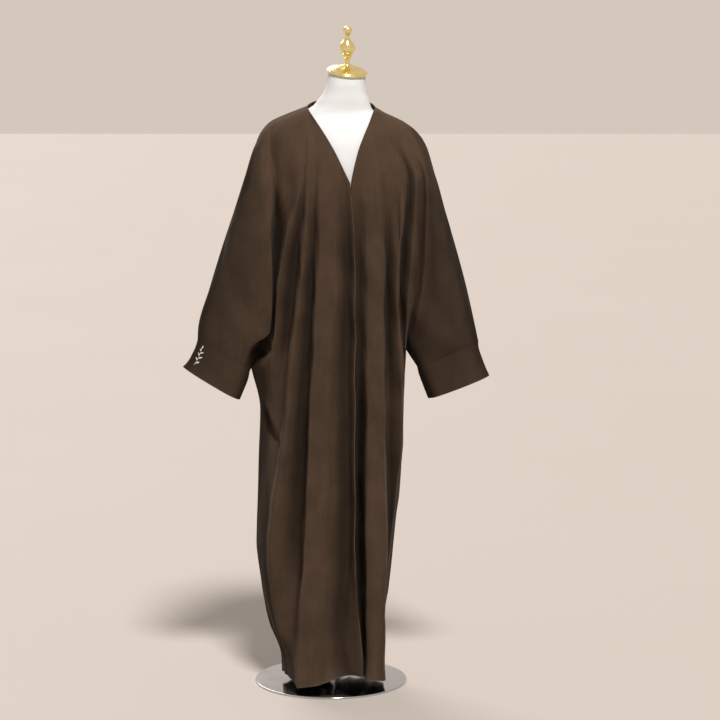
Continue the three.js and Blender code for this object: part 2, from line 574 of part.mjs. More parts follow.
// The four quarters and two cuffs of the garment as patches of points.
function garmentPatches() {
  const quarters = [
    { panel: 'abaya_front_right', face: 'front', fronts: FRONT_RIGHT_FOLDS, side: RIGHT_SIDE,
      sleeve: RIGHT_SLEEVE_FOLDS, mirrored: false, facing: 1 },
    { panel: 'abaya_back', face: 'back', fronts: FRONT_RIGHT_FOLDS, side: RIGHT_SIDE,
      sleeve: RIGHT_SLEEVE_FOLDS, back: { folds: BACK_RIGHT_FOLDS, tops: BACK_RIGHT_TOPS },
      mirrored: true, facing: 0, beside: 3 },
    { panel: 'abaya_front_left', face: 'front', fronts: FRONT_LEFT_FOLDS, side: LEFT_SIDE,
      sleeve: LEFT_SLEEVE_FOLDS, mirrored: true, facing: 3 },
    { panel: 'abaya_back', face: 'back', fronts: FRONT_LEFT_FOLDS, side: LEFT_SIDE,
      sleeve: LEFT_SLEEVE_FOLDS, back: { folds: BACK_LEFT_FOLDS, tops: BACK_LEFT_TOPS },
      mirrored: false, facing: 2, beside: 1 },
  ];
  const coarse = quarters.map((quarter) => {
    const folds = quarterFolds(quarter.face, quarter.fronts, quarter.side, quarter.sleeve, quarter.back);
    const rows = [];
    for (let row = 0; row <= UPPER_ROWS + LOWER_ROWS; row += 1) {
      rows.push(rowPoints(folds, row, quarter.side.armpit[2]));
    }
    return rows;
  });
  const patches = quarters.map((quarter, q) => ({
    panel: quarter.panel,
    mirrored: quarter.mirrored,
    rows: coarse[q].map((points, row) => fineRow(
      row, points, coarse[quarter.facing][row], coarse[quarter.beside]?.[row])),
  }));
  const cuffs = quarters.map((quarter, q) => {
    const right = quarter.side === RIGHT_SIDE;
    const hem = right ? RIGHT_CUFF_HEM : LEFT_CUFF_HEM;
    const rows = [];
    for (let ring = 0; ring <= CUFF_ROWS; ring += 1) {
      const share = ring / CUFF_ROWS;
      const own = cuffPoints(coarse[q][UPPER_ROWS], hem, share);
      const facing = cuffPoints(coarse[quarter.facing][UPPER_ROWS], hem, share);
      rows.push(cuffRow(own, facing));
    }
    return { panel: right ? 'cuff_right' : 'cuff_left', mirrored: quarter.mirrored, rows };
  });
  return [...patches, ...cuffs];
}

// ---- stand and form ----

// Turns rings of points, from the bottom up, into one closed solid with flat ends.
function loft(rings) {
  const sides = rings[0].length;
  const centreOf = (ring) => ring.reduce((sum, p) => sum.add(p), new THREE.Vector3()).divideScalar(sides);
  const vertices = [...rings.flat(), centreOf(rings[0]), centreOf(rings.at(-1))];
  const [bottom, top] = [vertices.length - 2, vertices.length - 1];
  const faces = [];
  for (let r = 0; r + 1 < rings.length; r += 1) {
    for (let i = 0; i < sides; i += 1) {
      const j = (i + 1) % sides;
      const [a, b, c, d] = [r * sides + i, r * sides + j, (r + 1) * sides + j, (r + 1) * sides + i];
      faces.push([a, b, c], [a, c, d]);
    }
  }
  const lastRing = (rings.length - 1) * sides;
  for (let i = 0; i < sides; i += 1) {
    const j = (i + 1) % sides;
    faces.push([bottom, j, i], [top, lastRing + i, lastRing + j]);
  }
  return solidGeometry(vertices, faces);
}

function ellipseRing({ z, centre, half, front, back }, power) {
  const ring = [];
  for (let i = 0; i < TORSO_SIDES; i += 1) {
    const angle = (2 * Math.PI * i) / TORSO_SIDES;
    const [cos, sin] = [Math.cos(angle), Math.sin(angle)];
    const round = (value) => Math.sign(value) * Math.abs(value) ** (2 / power);
    ring.push(new THREE.Vector3(centre + half * round(cos), (sin < 0 ? front : back) * round(sin), z));
  }
  return ring;
}

// Carries a point given above the neck's level top onto its slanted top.
function ontoNeck(point) {
  return point.applyAxisAngle(new THREE.Vector3(1, 0, 0), NECK_PITCH)
    .applyAxisAngle(new THREE.Vector3(0, 1, 0), NECK_ROLL)
    .add(new THREE.Vector3(NECK_TOP.x, 0, NECK_TOP.z));
}

function torsoGeometry() {
  const rings = TORSO_SECTIONS.map((section) => ellipseRing(section, TORSO_POWER));
  const neckRing = { z: 0, centre: 0, half: NECK_RADIUS, front: NECK_RADIUS, back: NECK_RADIUS };
  rings.push(ellipseRing(neckRing, 2).map(ontoNeck));
  return loft(rings);
}

function finialGeometry() {
  const outline = FINIAL_OUTLINE.map(([radius, height]) => new THREE.Vector2(radius, height));
  const ballStart = Math.asin(BALL_NECK_RADIUS / BALL_RADIUS);
  for (let i = 0; i <= BALL_STEPS; i += 1) {
    const angle = Math.PI - ballStart - ((Math.PI - ballStart) * i) / BALL_STEPS;
    const radius = i === BALL_STEPS ? 0 : BALL_RADIUS * Math.sin(angle);
    outline.push(new THREE.Vector2(radius, BALL_CENTRE_HEIGHT + BALL_RADIUS * Math.cos(angle)));
  }
  outline.unshift(new THREE.Vector2(0, 0));
  const geometry = new THREE.LatheGeometry(outline, FINIAL_SIDES);
  geometry.rotateX(Math.PI / 2);
  geometry.translate(0, 0, TOUCH_GAP);
  const position = geometry.getAttribute('position');
  for (let i = 0; i < position.count; i += 1) {
    const point = new THREE.Vector3().fromBufferAttribute(position, i);
    const leanBack = FINIAL_LEAN_BACK * (point.z - TOUCH_GAP);
    const moved = ontoNeck(point);
    position.setXYZ(i, moved.x - leanBack, moved.y, moved.z);
  }
  return geometry;
}

function circle(radius, centreX, z, sides) {
  const ring = [];
  for (let i = 0; i < sides; i += 1) {
    const angle = (2 * Math.PI * i) / sides;
    ring.push(new THREE.Vector3(centreX + radius * Math.cos(angle), radius * Math.sin(angle), z));
  }
  return ring;
}

// A disc or post between two heights, leaning with the stand.
function postGeometry(radius, bottom, top, sides) {
  return loft([bottom, top].map((z) => circle(radius, STAND_LEAN * z, z, sides)));
}

function plateGeometry() {
  const level = (radius, z) => circle(radius, 0, z, PLATE_SIDES);
  return loft([
    level(PLATE_RADIUS, 0), level(PLATE_RADIUS, PLATE_THICKNESS - PLATE_EDGE_ROUNDING),
    level(PLATE_RADIUS - PLATE_EDGE_ROUNDING, PLATE_THICKNESS),
  ]);
}

// ---- assembly ----

function addPiece(group, name, geometry, look) {
  const mesh = new THREE.Mesh(geometry, new THREE.MeshStandardMaterial(look));
  mesh.name = name;
  group.add(mesh);
}

function buildStand(group) {
  const chrome = { color: CHROME_COLOUR, roughness: 0.12, metalness: 1 };
  const socketBottom = PLATE_THICKNESS + TOUCH_GAP;
  const socketTop = socketBottom + SOCKET_HEIGHT;
  const poleTop = TORSO_SECTIONS[0].z - TOUCH_GAP;
  addPiece(group, 'base_plate', plateGeometry(), chrome);
  const socket = postGeometry(SOCKET_RADIUS, socketBottom, socketTop, SOCKET_SIDES);
  addPiece(group, 'pole_socket', socket, chrome);
  const pole = postGeometry(POLE_RADIUS, socketTop + TOUCH_GAP, poleTop, POLE_SIDES);
  addPiece(group, 'pole', pole, chrome);
}

function buildForm(group) {
  const cover = { color: COVER_COLOUR, roughness: 0.9, metalness: 0 };
  addPiece(group, 'form_torso', torsoGeometry(), cover);
  const brass = { color: BRASS_COLOUR, roughness: 0.25, metalness: 1 };
  addPiece(group, 'neck_cap_finial', finialGeometry(), brass);
}

function buildAbaya(group) {
  const patches = garmentPatches();
  const normals = sharedNormals(patches);
  const owners = panelsAtPoints(patches);
  for (const panel of new Set(patches.map((patch) => patch.panel))) {
    addPiece(group, panel, panelGeometry(panel, patches, normals, owners),
      { color: CLOTH_COLOUR, roughness: 0.95, metalness: 0 });
  }
}

const abayaOnForm = new THREE.Group();
buildStand(abayaOnForm);
buildForm(abayaOnForm);
buildAbaya(abayaOnForm);

export default abayaOnForm;
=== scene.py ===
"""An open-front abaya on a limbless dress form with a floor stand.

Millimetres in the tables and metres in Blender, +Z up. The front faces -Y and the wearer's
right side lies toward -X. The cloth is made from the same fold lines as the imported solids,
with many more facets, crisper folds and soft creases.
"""
import math

import bpy
import numpy as np
from mathutils import Matrix, Vector
from mathutils.bvhtree import BVHTree
from mathutils.kdtree import KDTree


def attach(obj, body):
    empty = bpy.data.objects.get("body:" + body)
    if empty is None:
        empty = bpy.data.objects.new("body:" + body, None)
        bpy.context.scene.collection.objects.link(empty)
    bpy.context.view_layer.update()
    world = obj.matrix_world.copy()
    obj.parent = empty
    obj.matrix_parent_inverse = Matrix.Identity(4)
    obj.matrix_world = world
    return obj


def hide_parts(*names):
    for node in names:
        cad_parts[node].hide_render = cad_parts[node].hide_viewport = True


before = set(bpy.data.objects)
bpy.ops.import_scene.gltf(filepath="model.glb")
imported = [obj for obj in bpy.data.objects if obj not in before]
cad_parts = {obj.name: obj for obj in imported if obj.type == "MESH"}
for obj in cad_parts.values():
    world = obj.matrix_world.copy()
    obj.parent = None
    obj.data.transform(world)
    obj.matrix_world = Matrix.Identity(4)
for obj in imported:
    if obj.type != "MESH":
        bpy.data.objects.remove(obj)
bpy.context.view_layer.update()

MM = 0.001
CAMERA_PLACE, CAMERA_DIP, CAMERA_LENS = (0.0705, -5.4, 1.45), 7.05, 113.9

# ---- sizes ----
PLATE_RADIUS, PLATE_THICKNESS, PLATE_ROUNDING = 183, 5, 1.2
SOCKET_RADIUS, SOCKET_HEIGHT, SOCKET_ROUNDING = 24, 34, 1.5
POLE_RADIUS = 12.5
STAND_LEAN = 0.0195  # the stand's shift to +X by height
TOUCH_GAP = 0.3

CLOTH_HALF_THICKNESS = 0.8
SEAM_SETBACK = 0.06  # how far each panel draws back from a shared seam
STEPS = 9  # facets between two neighbouring fold lines
UPPER_ROWS, LOWER_ROWS, CUFF_ROWS = 110, 88, 14
UPPER_ROW_GROWTH = 1.25
OPENING_END_HEIGHT = 790
CUFF_FLARE = 1.6
NECK_COLUMN, SIDE_COLUMN, UNDERARM_COLUMN, LAST_COLUMN = 6, 9, 10, 14
JOIN_BLEND = 0.12  # share of the upper rows over which a joined fold turns into a closed edge
NECK_BLEND = 0.06  # and over which the corner at the end of the neckline fades
PRESSED_BELOW = (1190, 1060)  # heights between which folds turn from soft to pressed
# The cloth rolls over the shoulder: share across, share of the depth, and drop below the top.
ROLL_ACROSS, ROLL_DEPTH, ROLL_DROP = 0.2, 0.55, 12
TOP_CLEAR, END_CLEAR = 20, 10  # levels this close to a fold line's ends are left out
CREST_REACHES = (22, 28, 34, 40, 46)  # crests within these distances shade a trough
DEPTH_ROWS = 9  # rows over which that shading is evened out
SEAM_CALM = 18  # distance from a seam over which creases and ripples fade in
CREASE_FADE = 0.3  # share of a crease's length over which either end fades
RIPPLE_CALM, RIPPLE_CALM_HEIGHTS = 0.25, (1180, 1290)  # share left on the shoulders
# Low ripples of the hanging cloth: wavelength and height.
RIPPLES = ((150, 0.9), (110, 0.8), (80, 0.6), (60, 0.4), (44, 0.25), (30, 0.14))
# Fold columns over which the sleeves' painted shade fades in from the body.
SLEEVE_SHADE_COLUMNS = {"right": (10.6, 13.2), "left": (9.4, 11.2)}

# ---- fold lines: the same tables as the solids ----
LEVELS = [1312, 1209, 1053, 959, 858, 759, 664, 557, 454, 353, 244, 147, 62]
SLEEVE_LEVELS = [1290, 1209, 1133, 1053, 957, 856, 826]

# Each front fold line: top end, hem height, x and y at every level and at the hem, and how
# round the cloth turns over it below the chest (1 is round, 0 is pressed sharp).
FRONT_RIGHT_FOLDS = [
    ((47, -111, 1209), 41,
     [47, 47, 57, 59, 59, 59, 59, 59, 59, 58, 61, 69, 75, 75],
     [-111, -111, -117, -118, -119, -121, -122, -123, -124, -126, -128, -130, -132, -133], 1),
    ((31, -105, 1242), 34,
     [31, 33, 42, 42, 41, 41, 42, 43, 44, 43, 34, 24, 28, 38],
     [-105, -105, -96, -92, -89, -87, -86, -86, -86, -86, -87, -88, -92, -96], 1),
    ((14, -97, 1278), 21,
     [14, 15, 14, 12, 6, 0, -4, -7, -9, -11, -16, -26, -30, -28],
     [-97, -111, -120, -121, -120, -119, -119, -119, -119, -120, -122, -124, -127, -130], 0.8),
    ((-7, -87, 1314), 17,
     [-9, -20, -23, -30, -34, -40, -45, -50, -55, -60, -67, -75, -80, -79],
     [-88, -111, -127, -131, -132, -133, -134, -135, -136, -138, -140, -142, -144, -145], 0.3),
    ((-28, -72, 1346), 23,
     [-30, -32, -38, -43, -48, -54, -59, -65, -71, -76, -83, -90, -95, -95],
     [-84, -103, -93, -88, -86, -84, -81, -78, -76, -75, -77, -82, -88, -92], 0.7),
    ((-46, -47, 1371), 26,
     [-48, -50, -60, -70, -82, -94, -101, -115, -129, -142, -137, -124, -104, -104],
     [-83, -105, -118, -121, -121, -119, -116, -110, -106, -98, -84, -70, -64, -62], 0.5),
    ((-54, -3, 1385), 27,
     [-58, -60, -76, -87, -99, -108, -112, -126, -141, -153, -147, -131, -109, -109],
     [-80, -96, -83, -75, -72, -72, -70, -62, -56, -54, -54, -53, -52, -52], 0.7),
    ((-80, 0, 1375), 27,
     [-78, -72, -108, -121, -128, -141, -136, -146, -156, -164, -154, -136, -113, -112],
     [-77, -99, -112, -110, -100, -76, -50, -38, -34, -34, -40, -44, -42, -40], 0.5),
    ((-103, 0, 1366), 25,
     [-101, -90, -114, -124, -130, -164, -155, -162, -168, -172, -160, -140, -115, -115],
     [-71, -84, -72, -62, -56, -34, -22, -12, -10, -12, -18, -20, -19, -18], 1),
]
FRONT_LEFT_FOLDS = [
    ((51, -111, 1207), 30,
     [51, 51, 51, 51, 52, 53, 54, 54, 54, 54, 57, 65, 73, 74],
     [-111, -108, -95, -91, -89, -84, -66, -52, -46, -46, -50, -60, -74, -80], 1),
    ((58, -104, 1248), 27,
     [58, 62, 68, 70, 70, 70, 70, 69, 68, 68, 71, 76, 80, 81],
     [-104, -106, -93, -88, -86, -82, -66, -52, -46, -46, -50, -60, -74, -82], 1),
    ((67, -96, 1284), 30,
     [67, 76, 86, 88, 88, 87, 87, 87, 85, 85, 83, 86, 87, 87],
     [-96, -107, -111, -113, -114, -114, -114, -114, -114, -114, -114, -115, -117, -119], 0.6),
    ((78, -86, 1314), 31,
     [80, 98, 104, 106, 107, 107, 107, 107, 107, 107, 105, 105, 105, 105],
     [-87, -106, -113, -115, -116, -117, -118, -119, -120, -122, -124, -126, -128, -129], 0.9),
    ((90, -71, 1343), 26,
     [95, 116, 119, 121, 122, 124, 127, 127, 129, 130, 127, 124, 124, 124],
     [-84, -103, -110, -112, -114, -115, -115, -115, -114, -113, -112, -112, -112, -112], 0.3),
    ((100, -48, 1368), 21,
     [107, 133, 133, 132, 132, 134, 135, 136, 137, 139, 131, 127, 127, 127],
     [-82, -86, -72, -67, -66, -64, -60, -54, -50, -50, -58, -70, -77, -80], 0.7),
    ((107, -3, 1382), 20,
     [128, 173, 163, 158, 163, 169, 169, 163, 153, 144, 134, 128, 128, 128],
     [-76, -78, -95, -98, -92, -80, -66, -54, -48, -46, -50, -54, -57, -58], 0.5),
    ((129, 0, 1369), 19,
     [147, 184, 171, 164, 168, 174, 172, 166, 156, 147, 136, 128, 128, 128],
     [-68, -56, -46, -38, -36, -36, -34, -30, -28, -26, -32, -36, -38, -40], 0.8),
    ((149, 0, 1360), 18,
     [165, 202, 194, 185, 180, 177, 173, 168, 159, 149, 138, 128, 128, 128],
     [-62, -70, -74, -68, -50, -26, -18, -14, -12, -10, -14, -16, -18, -18], 1),
]

# Each back fold line: share of the way to the side, relief at every level and at the hem,
# and roundness. Right half, left half.
BACK_RIGHT_FOLDS = [
    (0, [0, 0, 0, -3, -5, -7, -11, -13, -14, -13, -11, -9, -8, -8], 1),
    (0.15, [0, 0, 3, 6, 8, 9, 8, 7, 6, 5, 6, 7, 8, 8], 0.6),
    (0.27, [0, 0, -3, -6, -8, -9, -11, -12, -12, -11, -12, -14, -15, -15], 1),
    (0.42, [0, 0, 3, 7, 10, 13, 15, 16, 16, 15, 14, 13, 12, 12], 0.5),
    (0.55, [0, 0, -3, -7, -11, -15, -24, -29, -30, -30, -27, -24, -22, -22], 0.9),
    (0.66, [0, 0, 2, 3, 4, 4, 3, 0, -3, -5, -5, -4, -3, -3], 0.6),
    (0.75, [0, 0, -3, -8, -12, -14, -15, -15, -14, -13, -12, -11, -10, -10], 0.9),
    (0.86, [0, 0, 2, 5, 8, 10, 12, 13, 13, 12, 11, 10, 9, 9], 0.6),
    (0.94, [0, 0, 0, 0, 2, 3, 3, 3, 3, 3, 3, 3, 3, 3], 1),
]
BACK_LEFT_FOLDS = [
    (0, [0, 0, 0, -3, -5, -7, -11, -13, -14, -13, -11, -9, -8, -8], 1),
    (0.11, [0, 0, 2, 4, 6, 8, 10, 11, 11, 10, 9, 8, 8, 8], 0.6),
    (0.22, [0, 0, -3, -6, -9, -13, -19, -23, -25, -25, -24, -22, -20, -20], 1),
    (0.35, [0, 0, 2, 5, 7, 8, 8, 7, 5, 3, 2, 2, 2, 2], 0.7),
    (0.5, [0, 0, -3, -6, -8, -9, -10, -10, -10, -11, -12, -13, -13, -13], 0.9),
    (0.63, [0, 0, 4, 8, 11, 13, 15, 16, 16, 15, 13, 12, 11, 11], 0.4),
    (0.75, [0, 0, -3, -8, -12, -16, -22, -24, -24, -22, -19, -16, -15, -15], 0.9),
    (0.85, [0, 0, 2, 4, 5, 6, 6, 6, 6, 7, 7, 7, 6, 6], 0.6),
    (0.94, [0, 0, 0, 0, 2, 3, 3, 3, 3, 3, 3, 3, 3, 3], 1),
]
BACK_DEPTH = [92, 101, 98, 100, 106, 110, 112, 113, 114, 115, 116, 117, 118, 118]
BACK_SECTION_POWER = 2.5
BACK_HEM = 34
BACK_RIGHT_TOPS = [(28, 58, 1398), (10, 57, 1399), (-8, 53, 1399), (-24, 45, 1398),
                   (-38, 33, 1395), (-48, 16, 1390)]
BACK_LEFT_TOPS = [(28, 58, 1398), (46, 57, 1399), (63, 53, 1398), (79, 45, 1397),
                  (92, 33, 1394), (102, 16, 1388)]

# Each side: ends, the hollow under the arm down to the armpit, and the seam below it.
SEAM_Y = [4, 6, 8, 8, 6, 4, 2, 0]
RIGHT_SIDE = {
    "top": (-122, 0, 1358), "armpit": (-189, 0, 765), "hem": 24,
    "hollow_x": [-123, -110, -120, -131, -142],
    "front": [-58, -70, -40, -28, -22], "back": [62, 76, 54, 44, 32],
    "seam_x": [-168, -172, -175, -178, -167, -148, -120, -118],
}
LEFT_SIDE = {
    "top": (168, 0, 1351), "armpit": (176, 0, 815), "hem": 22,
    "hollow_x": [180, 217, 213, 204, 186],
    "front": [-52, -54, -50, -44, -26], "back": [58, 60, 46, 38, 22],
    "seam_x": [174, 169, 161, 152, 141, 127, 127, 127],
}

# Each sleeve fold line: top, lower end, depth there, x, front y, back y, roundness.
RIGHT_SLEEVE_FOLDS = [
    ((-136, 0, 1351), (-193, 0, 757), 0, [-138, -127, -129, -135, -140, -148, -169],
     [-44, -54, -42, -30, -25, -20, -10], [46, 56, 52, 47, 42, 32, 22], 1),
    ((-148, 0, 1342), (-207, 0, 771), 34, [-147, -138, -137, -137, -135, -140, -176],
     [-42, -66, -76, -82, -80, -68, -56], [44, 64, 68, 70, 68, 60, 50], 0.35),
    ((-159, 0, 1329), (-246, 0, 794), 42, [-162, -170, -180, -190, -201, -216, -228],
     [-34, -54, -62, -63, -58, -52, -48], [34, 50, 58, 64, 64, 58, 52], 0.9),
    ((-168, 0, 1314), (-290, 0, 820), 30, [-171, -189, -212, -234, -256, -280, -288],
     [-22, -30, -38, -40, -38, -34, -31], [22, 28, 34, 38, 38, 34, 32], 1),
    ((-175, 0, 1296), (-316, 0, 835), 0, [-177, -204, -229, -256, -286, -315, -316],
     [0] * 7, [0] * 7, 1),
]
LEFT_SLEEVE_FOLDS = [
    ((184, 0, 1341), (207, 0, 768), 0, [205, 226, 226, 224, 217, 200, 190],
     [-42, -62, -68, -69, -60, -38, -24], [44, 58, 62, 62, 54, 36, 24], 0.4),
    ((196, 0, 1332), (222, 0, 774), 32, [214, 234, 236, 236, 232, 220, 213],
     [-37, -56, -62, -62, -57, -46, -40], [38, 50, 54, 56, 52, 44, 38], 0.8),
    ((206, 0, 1322), (252, 0, 786), 42, [220, 241, 248, 254, 257, 253, 249],
     [-31, -50, -60, -64, -63, -55, -50], [32, 48, 58, 64, 66, 58, 52], 0.9),
    ((216, 0, 1310), (310, 0, 810), 32, [224, 246, 261, 278, 295, 310, 311],
     [-21, -33, -41, -45, -45, -41, -37], [22, 32, 38, 42, 44, 40, 36], 1),
    ((224, 0, 1296), (352, 0, 828), 0, [226, 251, 273, 297, 323, 346, 352],
     [0] * 7, [0] * 7, 1),
]
# Each cuff's hem, as the corner next to the body and the outer corner.
CUFF_HEMS = {"right": ((-217, 688), (-355, 768)), "left": ((233, 691), (377, 744))}

# Soft creases: face, (x, z) points of the crease's line, half width, height (a
# trough is negative).
CREASES = [
    ("front", [(159, 1205), (156, 1150), (157, 1090), (164, 1030)], 6, -9),
    ("front", [(-158, 706), (-143, 668), (-125, 624), (-110, 594)], 5, 5),
    ("front", [(-170, 690), (-155, 650), (-136, 606), (-122, 570)], 10, -12),
    ("front", [(-140, 828), (-156, 815), (-176, 792)], 12, -10),
]
# Front folds that hang sharp: table, row, side of the steep drop, strength and last level.
SHARP_FOLDS = [
    (FRONT_RIGHT_FOLDS, 2, 1, 0.5, 13), (FRONT_RIGHT_FOLDS, 3, -1, 1.0, 13),
    (FRONT_RIGHT_FOLDS, 5, -1, 0.8, 10), (FRONT_RIGHT_FOLDS, 7, -1, 0.6, 6),
    (FRONT_LEFT_FOLDS, 2, -1, 0.5, 13), (FRONT_LEFT_FOLDS, 4, 1, 0.9, 13),
]
SHARP_RIDGE = (5, 2.2)  # half width and height of the pressed ridge
SHARP_DROP = (7, -4.0, 12)  # half width, height and distance of the drop beside it
PAST_HEM = -500  # a sharp fold that reaches the hem is drawn on to this height

# The embroidered sprig near the outer fold of the right cuff: (x, z) points of its stem, and
# its leaves as share along the stem, side, length and half width.
SPRIG_STEM = [(-325, 773), (-318, 782), (-313, 792), (-309, 802), (-306, 811)]
SPRIG_LEAVES = [(0.12, 1, 11, 2.0), (0.3, -1, 8, 1.7), (0.42, 1, 11, 1.9), (0.58, -1, 8, 1.6),
                (0.72, 1, 9, 1.7), (0.86, -1, 6, 1.4)]
SPRIG_TIP_LEAF = (9, 1.8)
SPRIG_ANGLE = math.radians(48)  # between a leaf and the stem
STEM_HALF_WIDTH, LEAF_RISE = 0.45, 0.6

TORSO_SECTIONS = [  # height, centre, half width, front and back depth
    (745, 14.5, 146, 74, 86), (752, 14.7, 152, 79, 91), (830, 16.2, 156, 82, 95),
    (920, 18, 145, 80, 84), (1010, 19.7, 118, 75, 66), (1090, 21.3, 131, 89, 74),
    (1170, 22.8, 151, 102, 84), (1225, 23.9, 164, 99, 89), (1290, 25, 171, 87, 90),
    (1322, 22, 163.2, 75.5, 81.2), (1344, 19, 149.6, 64.1, 66.6), (1360, 16, 119, 50, 52.6),
    (1373, 19, 86.5, 46, 48.5), (1384, 27, 71, 46, 50), (1398, 31, 62, 46, 50),
    (1414, 34.5, 52.5, 45, 47), (1434, 37, 46, 45, 45),
]
TORSO_POWER = 2.3
TORSO_HEIGHTS = [745, 746, 748, 751, *range(756, 1434, 6), 1434]
COVER_SINK, COVER_SINK_HEIGHTS = 1.6, (1380, 1412)  # the cover lies this far under the cloth
NECK_TOP = (40.5, 0, 1463.5)
NECK_RADIUS = 44
NECK_PITCH, NECK_ROLL = math.radians(15), math.radians(6.5)

# Cap and finial up to the ball, as radius and height above the neck's top.
FINIAL_OUTLINE = [
    (47.2, 0), (48, 0.8), (48, 3.4), (47.4, 4.2), (45.6, 4.8), (45.6, 5.6), (44.4, 6.6),
    (39, 9.4), (34, 11.5), (27, 13.8), (20, 15.5), (13.5, 17), (9, 18.2), (7, 19.6), (6.1, 21.5),
    (5.6, 26), (5.5, 31), (5.9, 34), (7.2, 36.4), (9.6, 37.9), (11.6, 39.4), (12, 41),
    (11.4, 42.4), (9.6, 43.8), (9, 44.8), (10.4, 46.2), (13, 47.6), (15.4, 49.4), (17.4, 52.6),
    (18.4, 56.4), (18.8, 60), (18.2, 64), (16.8, 67.8), (14.5, 71.2), (11.4, 74.8), (8.6, 78),
    (6.5, 81), (5.5, 84), (5.5, 88), (6.2, 90.4), (7.5, 94.2),
]
BALL_RADIUS, BALL_CENTRE_HEIGHT, BALL_NECK_RADIUS = 10.5, 101.5, 7.5
BALL_STEPS = 15
FINIAL_LEAN_BACK = 0.1  # it stands nearly upright on the slanted cap: shift to -X by height


# ---- curves ----

def cubic(t, a, leaving, b, arriving):
    """Hermite curve from a to b at the shares t, with its two tangents."""
    return ((2 * t**3 - 3 * t**2 + 1) * a + (t**3 - 2 * t**2 + t) * leaving
            + (3 * t**2 - 2 * t**3) * b + (t**3 - t**2) * arriving)


def read_curve(knots, values, at):
    """Monotone cubic through knots that run downward, read at the heights `at`."""
    knots, values, at = (np.asarray(a, float) for a in (knots, values, at))
    slope = np.diff(values) / np.diff(knots)
    before, after = slope[:-1], slope[1:]
    turn = before * after <= 0
    mean = np.where(turn, 0, 2 * before * after / np.where(turn, 1, before + after))
    tangent = np.concatenate([slope[:1], mean, slope[-1:]])
    i = np.clip(np.searchsorted(-knots, -at, side="left") - 1, 0, len(knots) - 2)
    span = knots[i + 1] - knots[i]
    t = np.clip((at - knots[i]) / span, 0, 1)
    return cubic(t, values[i], span * tangent[i], values[i + 1], span * tangent[i + 1])


def smooth(low, high, value):
    t = np.clip((value - low) / (high - low), 0, 1)
    return t * t * (3 - 2 * t)


def lerp(a, b, t):
    return a + (b - a) * t


class Fold:
    """A path down the cloth, read by height."""

    def __init__(self, points, roundness=1.0, second=None):
        self.x, self.y, self.z = np.array(points, float).T
        self.top, self.end = self.z[0], (second.z if second else self.z)[-1]
        self.roundness, self.second = roundness, second

    def read(self, z):
        own = np.stack([read_curve(self.z, self.x, z), read_curve(self.z, self.y, z), z], -1)
        if self.second is None:
            return own
        return np.where((z > self.z[-1])[:, None], own, self.second.read(z))


def with_shoulder_roll(points):
    top, after = points[0], points[1]
    if abs(top[1]) > 5:
        return points
    over = (lerp(top[0], after[0], ROLL_ACROSS), after[1] * ROLL_DEPTH, top[2] - ROLL_DROP)
    return [top, over, *points[1:]]


def fold_down(top, levels, xs, ys, end, roundness):
    between = [(x, y, z) for x, y, z in zip(xs, ys, levels)
               if end[2] + END_CLEAR < z < top[2] - TOP_CLEAR]
    return Fold(with_shoulder_roll([top, *between, end]), roundness)


def side_fold(side, face):
    hollow = list(zip(side["hollow_x"], side[face], LEVELS))
    seam = list(zip(side["seam_x"], SEAM_Y, [*LEVELS[len(hollow) + 1:], side["hem"]]))
    lower = Fold([side["armpit"], *seam])
    return Fold(with_shoulder_roll([side["top"], *hollow, side["armpit"]]), 1, lower)


def back_fold(share, relief, roundness, top, side):
    points = [top]
    levels = [*LEVELS, BACK_HEM]
    edges = side.read(np.array(levels, float))
    rise = (1 - share**BACK_SECTION_POWER) ** (1 / BACK_SECTION_POWER)
    for level, edge, depth, extra in zip(levels, edges, BACK_DEPTH, relief):
        centre = STAND_LEAN * level
        points.append((lerp(centre, edge[0], share), lerp(edge[1], depth, rise) + extra, level))
    return Fold(with_shoulder_roll(points), roundness)


def quarter_folds(face, fronts, side, sleeve, back_folds, neck_tops):
    side_path = side_fold(side, face)
    if face == "front":
        body = [fold_down(top, LEVELS, xs, ys, (xs[-1], ys[-1], hem), roundness)
                for top, hem, xs, ys, roundness in fronts]
    else:
        tops = [*neck_tops, *(fold[0] for fold in fronts[NECK_COLUMN:])]
        body = [back_fold(*fold, top, side_path) for fold, top in zip(back_folds, tops)]
    arm = []
    for top, (x, _, z), depth, xs, front, back, roundness in sleeve:
        ys, y = (front, -depth) if face == "front" else (back, depth)
        arm.append(fold_down(top, SLEEVE_LEVELS, xs, ys, (x, y, z), roundness))
    return [*body, side_path, *arm]


# ---- the garment's surface ----

def coarse_points(folds, armpit_height):
    """Points of every fold line on every row: rows by folds by 3."""
    grid = np.zeros((UPPER_ROWS + LOWER_ROWS + 1, LAST_COLUMN + 1, 3))
    down = np.linspace(0, 1, UPPER_ROWS + 1) ** UPPER_ROW_GROWTH
    for k, fold in enumerate(folds):
        turn = fold.end
        if k <= SIDE_COLUMN:
            turn = lerp(OPENING_END_HEIGHT, armpit_height, k / SIDE_COLUMN)
            lower = np.linspace(turn, fold.end, LOWER_ROWS + 1)[1:]
            grid[UPPER_ROWS + 1:, k] = fold.read(lower)
        grid[:UPPER_ROWS + 1, k] = fold.read(lerp(fold.top, turn, down))
    return grid


def hermite(points, leaving, arriving):
    """Fine points through `points` along axis 1, with a tangent on either side of each."""
    t = (np.arange(STEPS) / STEPS)[None, None, :, None]
    fine = cubic(t, points[:, :-1, None], leaving[:, :-1, None],
                 points[:, 1:, None], arriving[:, 1:, None])
    return np.concatenate([fine.reshape(len(points), -1, 3), points[:, -1:]], 1)


def tangents(points, before, after):
    """Half the step between each point's neighbours along axis 1."""
    row = np.concatenate([before[:, None], points, after[:, None]], 1)
    return (row[:, 2:] - row[:, :-2]) / 2


